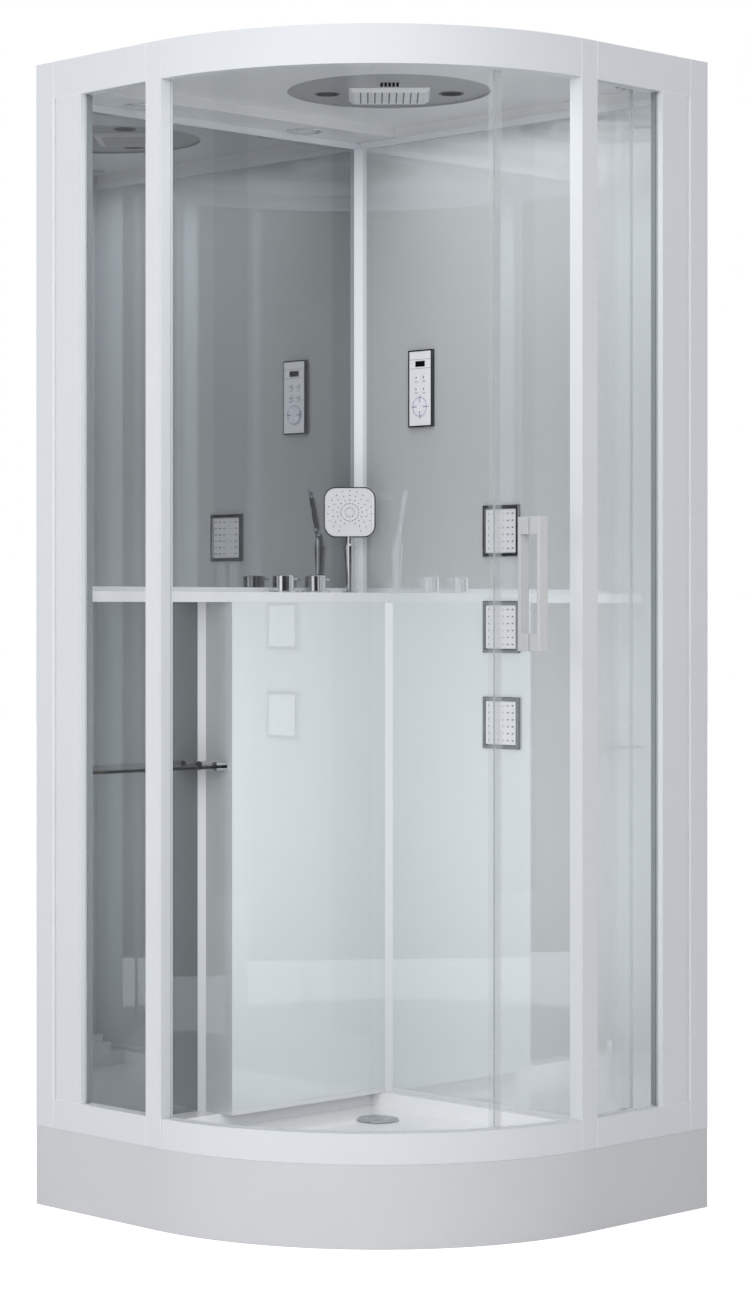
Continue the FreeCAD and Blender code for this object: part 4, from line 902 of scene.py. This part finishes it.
# %% Overhead shower and speakers
DIAGONAL = rotation(-45, "Z")
ENTRANCE_WARDS = rotation(45, "Z") @ FACE_DOWN
CEILING = 2128
low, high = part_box("rain_head")
RAIN = Vector(((low.x + high.x) / 2, (low.y + high.y) / 2, 0))
RAIN_FACE = 2120.8
RAIN_LOOPS = [
    (78, 2128), (78, 2127), (77, 2126.2), (69.5, 2120.2), (68.6, 2120), (66, 2120),
    (65.4, RAIN_FACE),
]
PIPE = [(0, 2127), (12, 2127), (12, 2152), (0, 2152)]


def loft(batch, loops, place):
    """A closed skin through loops of equal length, each a list of points in mm."""
    join_rings(batch, [
        [batch.verts.new(place @ (Vector(point) * MM)) for point in loop] for loop in loops
    ])


rain = bmesh.new()
squares = [[(x * half, y * half, z) for x, y in CORNERS] for half, z in RAIN_LOOPS]
loft(rain, squares, Matrix.Translation(RAIN) @ DIAGONAL)
turn_up(rain, PIPE, RAIN)
rain_piece = round_edges(add_piece("rain_head_sloped", outwards(rain), roof_abs), 0.3)
ride_as(rain_piece, "root", "rain_white", "rain_head")

RAIN_PLACE = Matrix.Translation(RAIN + Vector((0, 0, RAIN_FACE * MM))) @ ENTRANCE_WARDS
lay_grown(
    "rain_slots", "root", "black_plastic", slot_tree, spray_silicone, [RAIN_PLACE],
    Count=9, Pitch=0.0138, Wide=0.0026, Long=0.124, Deep=0.0008)
VENT_PLACE = Matrix.Translation(at(465.5, 415.5, CEILING)) @ ENTRANCE_WARDS
lay_grown(
    "vent_slot_shade_bars", "root", "black_plastic", slot_tree, vent_slot_painted_shade, [VENT_PLACE],
    Count=5, Pitch=0.0076, Wide=0.0043, Long=0.0438, Deep=0.001)

SPEAKERS = [at(306, 426, 0), at(476, 256, 0)]
DISH_FACE = 2127.2
DISH = [
    (0, DISH_FACE), (21.4, DISH_FACE), (22, 2126.8), (23, 2126.6), (24.2, 2127), (24.6, 2128),
    (18, 2128), (18, 2142), (0, 2142),
]
dishes = turned_piece("speaker_dishes", DISH, SPEAKERS, spray_silicone)
ride_as(dishes, "root", "black_plastic", "speakers")
lay_grown(
    "speaker_grilles", "root", "black_plastic", field_tree, foot_plastic,
    [Matrix.Translation(speaker + Vector((0, 0, DISH_FACE * MM))) @ FACE_DOWN
     for speaker in SPEAKERS],
    Columns=13, Rows=13, Pitch_Across=0.0032, Pitch_Up=0.0032, Reach=0.0195,
    Tip=0.001, Foot=0.0013, Long=0.0005)

SCREW_HEAD = [(0, 2126.6), (2.2, 2126.8), (3, 2127.6), (3, 2128.2), (0, 2128.2)]
SCREWS = [at(520.7, 470.5, 0), at(573.3, 348.8, 0), at(424.2, 186.2, 0)]
ride_as(turned_piece("recess_screws", SCREW_HEAD, SCREWS, steel), "root", "fixing_steel")
print("overhead shower at", [round(v, 3) for v in RAIN[:2]])

# %% [markdown]
# The hand shower stands in a socket on the ledge and faces the entrance. Its head is a rounded
# square dish: a domed chrome back, a thin rim in dark chrome whose dark tone is a painted
# reflection of the dark that the rim mirrors, and a pale face with five rings of rubber nozzles.
# The grip is widest just under the neck and thins towards the socket. Both are lofted.

# %% Hand shower
HAND = Matrix.Translation(at(50, 111, LEDGE_TOP)) @ DIAGONAL
NECK = Vector((4, 0, 164.7)) * MM
HEAD_TILT = 9
HEAD = HAND @ Matrix.Translation(NECK) @ rotation(HEAD_TILT, "Y")
HEAD_WIDE, HEAD_HIGH, HEAD_CORNER = 107, 105, 25
CORNER_STEPS = 10


def rounded_loop(wide, high, corner):
    """Points round a rectangle with rounded corners, as (across, up) in mm."""
    points = []
    for quarter, (x, y) in enumerate(((1, 1), (-1, 1), (-1, -1), (1, -1))):
        for i in range(CORNER_STEPS + 1):
            angle = math.radians(90 * (quarter + i / CORNER_STEPS))
            points.append((
                x * (wide / 2 - corner) + corner * math.cos(angle),
                y * (high / 2 - corner) + corner * math.sin(angle),
            ))
    return points


def head_loops(steps):
    """Outlines of the head at each (depth, inset) step."""
    return [
        [(depth, across, up) for across, up in rounded_loop(
            HEAD_WIDE - 2 * inset, HEAD_HIGH - 2 * inset, max(HEAD_CORNER - inset, 4))]
        for depth, inset in steps
    ]


SHELL = [
    (0.2, 24), (0.4, 16), (1.2, 9), (2.8, 4.2), (5, 1.6), (7, 0.4), (8, 0.1), (10.5, 0),
    (12.2, 0.1), (12.9, 0.6), (13, 1.2), (12.8, 1.9), (12, 2.3), (10, 2.4),
]
RIM_STEPS = (8, 13)
FACE = [(10, 2.5), (12.3, 2.5), (12.8, 2.9), (13, 3.8), (13, 10)]
GRIP = [  # height, radius and shift towards the head
    (-38, 8, 0), (0, 8, 0), (0.6, 8.4, 0), (30, 9.3, 0), (60, 10.9, 0), (84, 12.6, 0),
    (90, 13.1, 0), (92.5, 13.2, 0.1), (94, 12.7, 0.2), (94.6, 11.4, 0.3), (96, 10.8, 0.4),
    (110, 8.2, 1.2), (118, 7.4, 1.8), (122, 6, 2),
]
GRIP_STEPS = 36
body = bmesh.new()
loft(body, head_loops(SHELL), HEAD)
body.faces.ensure_lookup_table()
loop_points = 4 * (CORNER_STEPS + 1)
first, last = (step * loop_points for step in RIM_STEPS)
# The rim's faces take the dark chrome, as a painted dark reflection.
for face in body.faces[first:last]:
    face.material_index = 1
outlines = [[(shift + x, y, z) for x, y in circle(r, GRIP_STEPS)] for z, r, shift in GRIP]
loft(body, outlines, HAND)
hand_piece = add_piece("hand_shower_lofted", outwards(body), chrome, dark_chrome)
ride_as(hand_piece, "hand_set", "chrome", "hand_shower")
dial = bmesh.new()
loft(dial, head_loops(FACE), HEAD)
dial_piece = add_piece("hand_shower_dial", outwards(dial), jet_abs)
ride_as(dial_piece, "hand_set", "spray_face", "hand_shower_face")

SPRAY_RINGS = [(9.5, 10, 0), (18.4, 20, 0), (25.8, 15, 50), (35.3, 15, 70), (45, 17, 60)]
DIAL_PROUD = 13.1
FACE_OUT = Matrix.Translation((DIAL_PROUD * MM, 0, 0)) @ rotation(90, "Y")
spray = bmesh.new()
for radius, count, gap in SPRAY_RINGS:
    sweep = 360 - gap if gap else 360 * (1 - 1 / count)
    ring = grow(
        ring_tree, spray_silicone, Count=count, Radius=radius * MM, From=math.radians(gap / 2),
        Sweep=math.radians(sweep), Tip=0.0009, Foot=0.0013, Long=0.0007,
    )
    spray.from_mesh(ring)
bmesh.ops.transform(spray, matrix=HEAD @ FACE_OUT, verts=spray.verts)
ride_as(add_piece("hand_shower_nozzles", spray, spray_silicone), "hand_set", "spray_face")
print("hand shower:", sum(count for _, count, _ in SPRAY_RINGS), "nozzles")

# %% [markdown]
# The control panel is a silver face in a dark rim. Two thin lines part off a black display,
# four keys carry small plain marks over a short dash, and the round key has a printed ring with
# four ticks. Marks are raised by a tenth of a millimetre, so that they stay crisp in any light.

# %% Control panel marks
PANEL_U, PANEL_TOP = 193, 1662
PANEL_FACE, KEY_FACE = 50, 51.2
INK = 0.12
LINE_DROPS = (19.5, 38)
DISPLAY_DROP, DISPLAY_PROUD = 28.7, 0.4
DASH_DROP = 8.2
DIAL_Z = PANEL_TOP - 116.5
TICK_REACH, SPOKE_REACH = 22.8, 14.8
RING_STEPS = 48
QUARTERS = ((1, 0), (0, 1), (-1, 0), (0, -1))
KEYS = {"key_1": (-11, 57), "key_2": (11, 57), "key_3": (-11, 81), "key_4": (11, 81)}


def ink_box(batch, u, z, wide, high, face, turn=0.0, proud=INK):
    """A thin upright box on a face of the panel, turned in that face by some degrees."""
    place = Matrix.Translation(at(u, face, z)) @ ACROSS_WALL @ rotation(turn, "Z")
    size = Matrix.Diagonal((wide * MM, high * MM, 2 * proud * MM, 1))
    bmesh.ops.create_cube(batch, size=1, matrix=place @ size)


def ink_spokes(batch, reach, wide, high, face):
    """Four boxes about the dial's middle, a quarter turn apart."""
    for quarter, (x, y) in enumerate(QUARTERS):
        ink_box(batch, PANEL_U + reach * x, DIAL_Z + reach * y, wide, high, face, 90 * quarter)


def ink_ring(batch, u, z, inner, outer, face):
    """A thin flat ring on a face of the panel."""
    join_rings(batch, [
        [batch.verts.new(at(u + x, face + proud, z + y)) for x, y in circle(radius, RING_STEPS)]
        for radius, proud in ((inner, 0), (inner, INK), (outer, INK), (outer, 0))
    ], closed=True)


def ink_piece(name, batch, material, body):
    """A printed piece that moves with a body."""
    ride_as(add_piece(name, outwards(batch), material), body, "black_plastic")


lines = bmesh.new()
for drop in LINE_DROPS:
    ink_box(lines, PANEL_U, PANEL_TOP - drop, 61, 0.6, PANEL_FACE)
for side, drop in KEYS.values():
    ink_box(lines, PANEL_U + side, PANEL_TOP - drop - DASH_DROP, 7.5, 0.8, PANEL_FACE)
ink_spokes(lines, TICK_REACH, 2.6, 1.5, PANEL_FACE)
ink_piece("panel_lines", lines, key_print, "root")
display = bmesh.new()
ink_box(display, PANEL_U, PANEL_TOP - DISPLAY_DROP, 26.6, 11.7, PANEL_FACE, proud=DISPLAY_PROUD)
ink_piece("panel_display", display, display_glass, "root")

dial_marks = bmesh.new()
ink_ring(dial_marks, PANEL_U, DIAL_Z, 18.9, 19.8, KEY_FACE)
ink_spokes(dial_marks, SPOKE_REACH, 11, 1.7, KEY_FACE)
ink_piece("dial_marks", dial_marks, dial_print, node_body["key_ring"])
print("the panel has", len(KEYS) + 1, "keys and a display")

# %% [markdown]
# Each key has a mark of a few strokes: spray, lamp, steam and fan. They are plain signs that
# any such panel might have, built from the same thin boxes.

# %% Key marks
STROKES = {
    "key_1": [(1.2, 0.4, 3.4, 2.6, 40), (-2.2, 1.8, 1.6, 0.8, 0), (-2.4, 0.4, 1.6, 0.8, 0)],
    "key_2": [(0, 0.8, 3, 3, 45), (0, -1.9, 1.8, 1, 0), (0, 3.8, 0.8, 1.2, 0)],
    "key_3": [(-1.6, 0.4, 0.8, 4, 20), (0, 0.4, 0.8, 4, 20), (1.6, 0.4, 0.8, 4, 20)],
    "key_4": [(0, 0.4, 4.4, 1, 45), (0, 0.4, 4.4, 1, -45), (0, 0.4, 1.6, 1.6, 0)],
}
for node, strokes in STROKES.items():
    side, drop = KEYS[node]
    mark = bmesh.new()
    for du, dz, wide, high, turn in strokes:
        ink_box(mark, PANEL_U + side + du, PANEL_TOP - drop + dz, wide, high, KEY_FACE, turn)
    ink_piece(node + "_mark", mark, key_print, node_body[node])
print("marked", len(STROKES), "keys")

# %% [markdown]
# The studio has a pale floor that is not part of the cabin. Seen by the camera, in gloss or
# through glass, the floor and the world are white. In a mirror the floor is as white as the world,
# without the lamps' bright pools on it. Diffuse light takes a softer level from the world, also
# where it comes by way of a mirrored wall.

# %% Floor and world
FLOOR_HALF = 20
FLOOR_GLOW = 0.84
WORLD_LIGHT = 0.33
WHITE = (1, 1, 1, 1)


def seen(tree, path):
    """1 for rays of the camera, of gloss or through glass, and 0 once a ray has lit a surface."""
    total = path.outputs["Is Camera Ray"]
    for kind in ("Is Glossy Ray", "Is Transmission Ray"):
        total = add_node(tree, "ShaderNodeMath", {
            0: total, 1: path.outputs[kind],
        }, operation="MAXIMUM").outputs[0]
    direct = add_node(tree, "ShaderNodeMath", {
        0: path.outputs["Diffuse Depth"], 1: 0.5,
    }, operation="LESS_THAN")
    both = add_node(tree, "ShaderNodeMath", {0: total, 1: direct.outputs[0]}, operation="MULTIPLY")
    return both.outputs[0]


def mirrored(tree, path):
    """1 for rays that a glossy surface has turned, and 0 before that."""
    return add_node(tree, "ShaderNodeMath", {
        0: path.outputs["Glossy Depth"], 1: 0.5,
    }, operation="GREATER_THAN").outputs[0]


floor_paint, tree, shader = start_finish("pale_studio_floor", "#EDEEEF", 0.8)
add_relief(tree, shader, 400, 0.5)
path = add_node(tree, "ShaderNodeLightPath")
shown = seen(tree, path)
glow = add_node(tree, "ShaderNodeMath", {0: shown, 1: FLOOR_GLOW}, operation="MULTIPLY")
shader.inputs["Emission Color"].default_value = WHITE
tree.links.new(glow.outputs[0], shader.inputs["Emission Strength"])
in_mirror = add_node(tree, "ShaderNodeMath", {
    0: shown, 1: mirrored(tree, path),
}, operation="MULTIPLY")
plain = add_node(tree, "ShaderNodeEmission", {"Color": WHITE})
both = add_node(tree, "ShaderNodeMixShader", {
    0: in_mirror.outputs[0], 1: shader.outputs["BSDF"], 2: plain.outputs["Emission"],
})
tree.links.new(both.outputs[0], tree.nodes["Material Output"].inputs["Surface"])
ground = bmesh.new()
bmesh.ops.create_grid(ground, x_segments=1, y_segments=1, size=FLOOR_HALF)
add_piece("studio_floor", ground, floor_paint)

world = bpy.data.worlds.new("soft_white_studio")
bpy.context.scene.world = world
world.use_nodes = True
sky = world.node_tree
sky.nodes.clear()
path = add_node(sky, "ShaderNodeLightPath")
level = add_node(sky, "ShaderNodeMapRange", {
    "Value": seen(sky, path), "To Min": WORLD_LIGHT, "To Max": 1.0,
})
air = add_node(sky, "ShaderNodeBackground", {
    "Color": WHITE, "Strength": level.outputs["Result"],
})
add_node(sky, "ShaderNodeOutputWorld", {"Surface": air.outputs["Background"]})
print("world light", WORLD_LIGHT, "for diffuse rays")

# %% [markdown]
# Two broad lamps light the entrance: one high up on the camera's side, and a weaker one to its
# left, so that shadows stay soft. Glass walls and a closed roof swallow light, so two weak lamps
# work inside: one under the roof, where the cabin's own lights are, and one by the entrance that
# lifts the lower half.

# %% Lamps
AIM = Vector((0, 0, 1.1))


def add_lamp(name, place, aim, size, power):
    """A square lamp that lights surfaces and isn't seen itself, directly or in a mirror."""
    data = bpy.data.lights.new(name, "AREA")
    data.shape = "SQUARE"
    data.size = size
    data.energy = power
    lamp = bpy.data.objects.new(name, data)
    lamp.location = place
    lamp.rotation_euler = (Vector(aim) - Vector(place)).to_track_quat("-Z", "Y").to_euler()
    lamp.visible_camera = False
    lamp.visible_glossy = False
    lamp.visible_transmission = False
    bpy.context.scene.collection.objects.link(lamp)


add_lamp("front_lamp", (3.3, -3.3, 2.6), AIM, 3.0, 106)
add_lamp("left_lamp", (-1.0, -5.0, 1.9), AIM, 4.0, 50)
add_lamp("roof_lamp", (0.02, 0.0, 2.085), (0.02, 0.0, 0.0), 0.7, 2.6)
add_lamp("entrance_lamp", (0.1, -0.1, 0.75), (-0.35, 0.35, 0.75), 0.8, 1.8)

# %% [markdown]
# Chrome has no colour of its own. In an all-white room it looks like white plastic, so studios
# stand black boards beside the object for chrome to mirror. Two stand at the sides, and one
# nearer by on the camera's side, where the two mirrored walls together look. A ray meets them
# only after it has left a glossy surface, so no view shows them directly or through the glass,
# and they cast no shadow.

# %% Boards for the chrome
BOARDS = {  # first and last direction in degrees, distance and height in metres
    "left_board": (-110, -95, 7.0, 5.0), "camera_board": (-60, -14, 3.0, 3.0),
    "right_board": (-8, 25, 7.0, 5.0),
}

board_paint, tree, shader = start_finish("black_board_paint", "#0E0F10", 0.9)
add_drift(tree, shader, "#0C0D0E", "#131415", 300)
path = add_node(tree, "ShaderNodeLightPath")
clear = add_node(tree, "ShaderNodeBsdfTransparent")
both = add_node(tree, "ShaderNodeMixShader", {
    0: mirrored(tree, path), 1: clear.outputs["BSDF"], 2: shader.outputs["BSDF"],
})
tree.links.new(both.outputs[0], tree.nodes["Material Output"].inputs["Surface"])

for name, (first, last, away, high) in BOARDS.items():
    facing = Matrix.Rotation(math.radians((first + last) / 2), 4, "Z")
    half_wide = away * math.tan(math.radians((last - first) / 2))
    board = bmesh.new()
    board.faces.new([
        board.verts.new(facing @ Vector((away, x * half_wide, (1 + z) * high / 2)))
        for x, z in CORNERS
    ])
    piece = add_piece(name, board, board_paint)
    piece.visible_camera = False
    piece.visible_diffuse = False
    piece.visible_shadow = False
print("boards:", *BOARDS)

# %% [markdown]
# The camera looks level, along the cabin's diagonal, from a little over a metre high. A small
# lens shift frames the cabin without tilting the camera, so that upright lines stay upright.

# %% Camera
LOOK = Vector((-0.7245, 0.6892, 0))
camera_data = bpy.data.cameras.new("studio_camera")
camera_data.sensor_width = 36
camera_data.lens = 84.97
camera_data.shift_x = 0.0639
camera_data.shift_y = -0.0310
camera = bpy.data.objects.new("studio_camera", camera_data)
camera.location = (4.110, -4.122, 1.130)
camera.rotation_euler = LOOK.to_track_quat("-Z", "Y").to_euler()
bpy.context.scene.collection.objects.link(camera)
bpy.context.scene.camera = camera
bpy.context.scene.view_settings.view_transform = "Standard"
print("lens", camera_data.lens, "mm at", [round(v, 2) for v in camera.location])
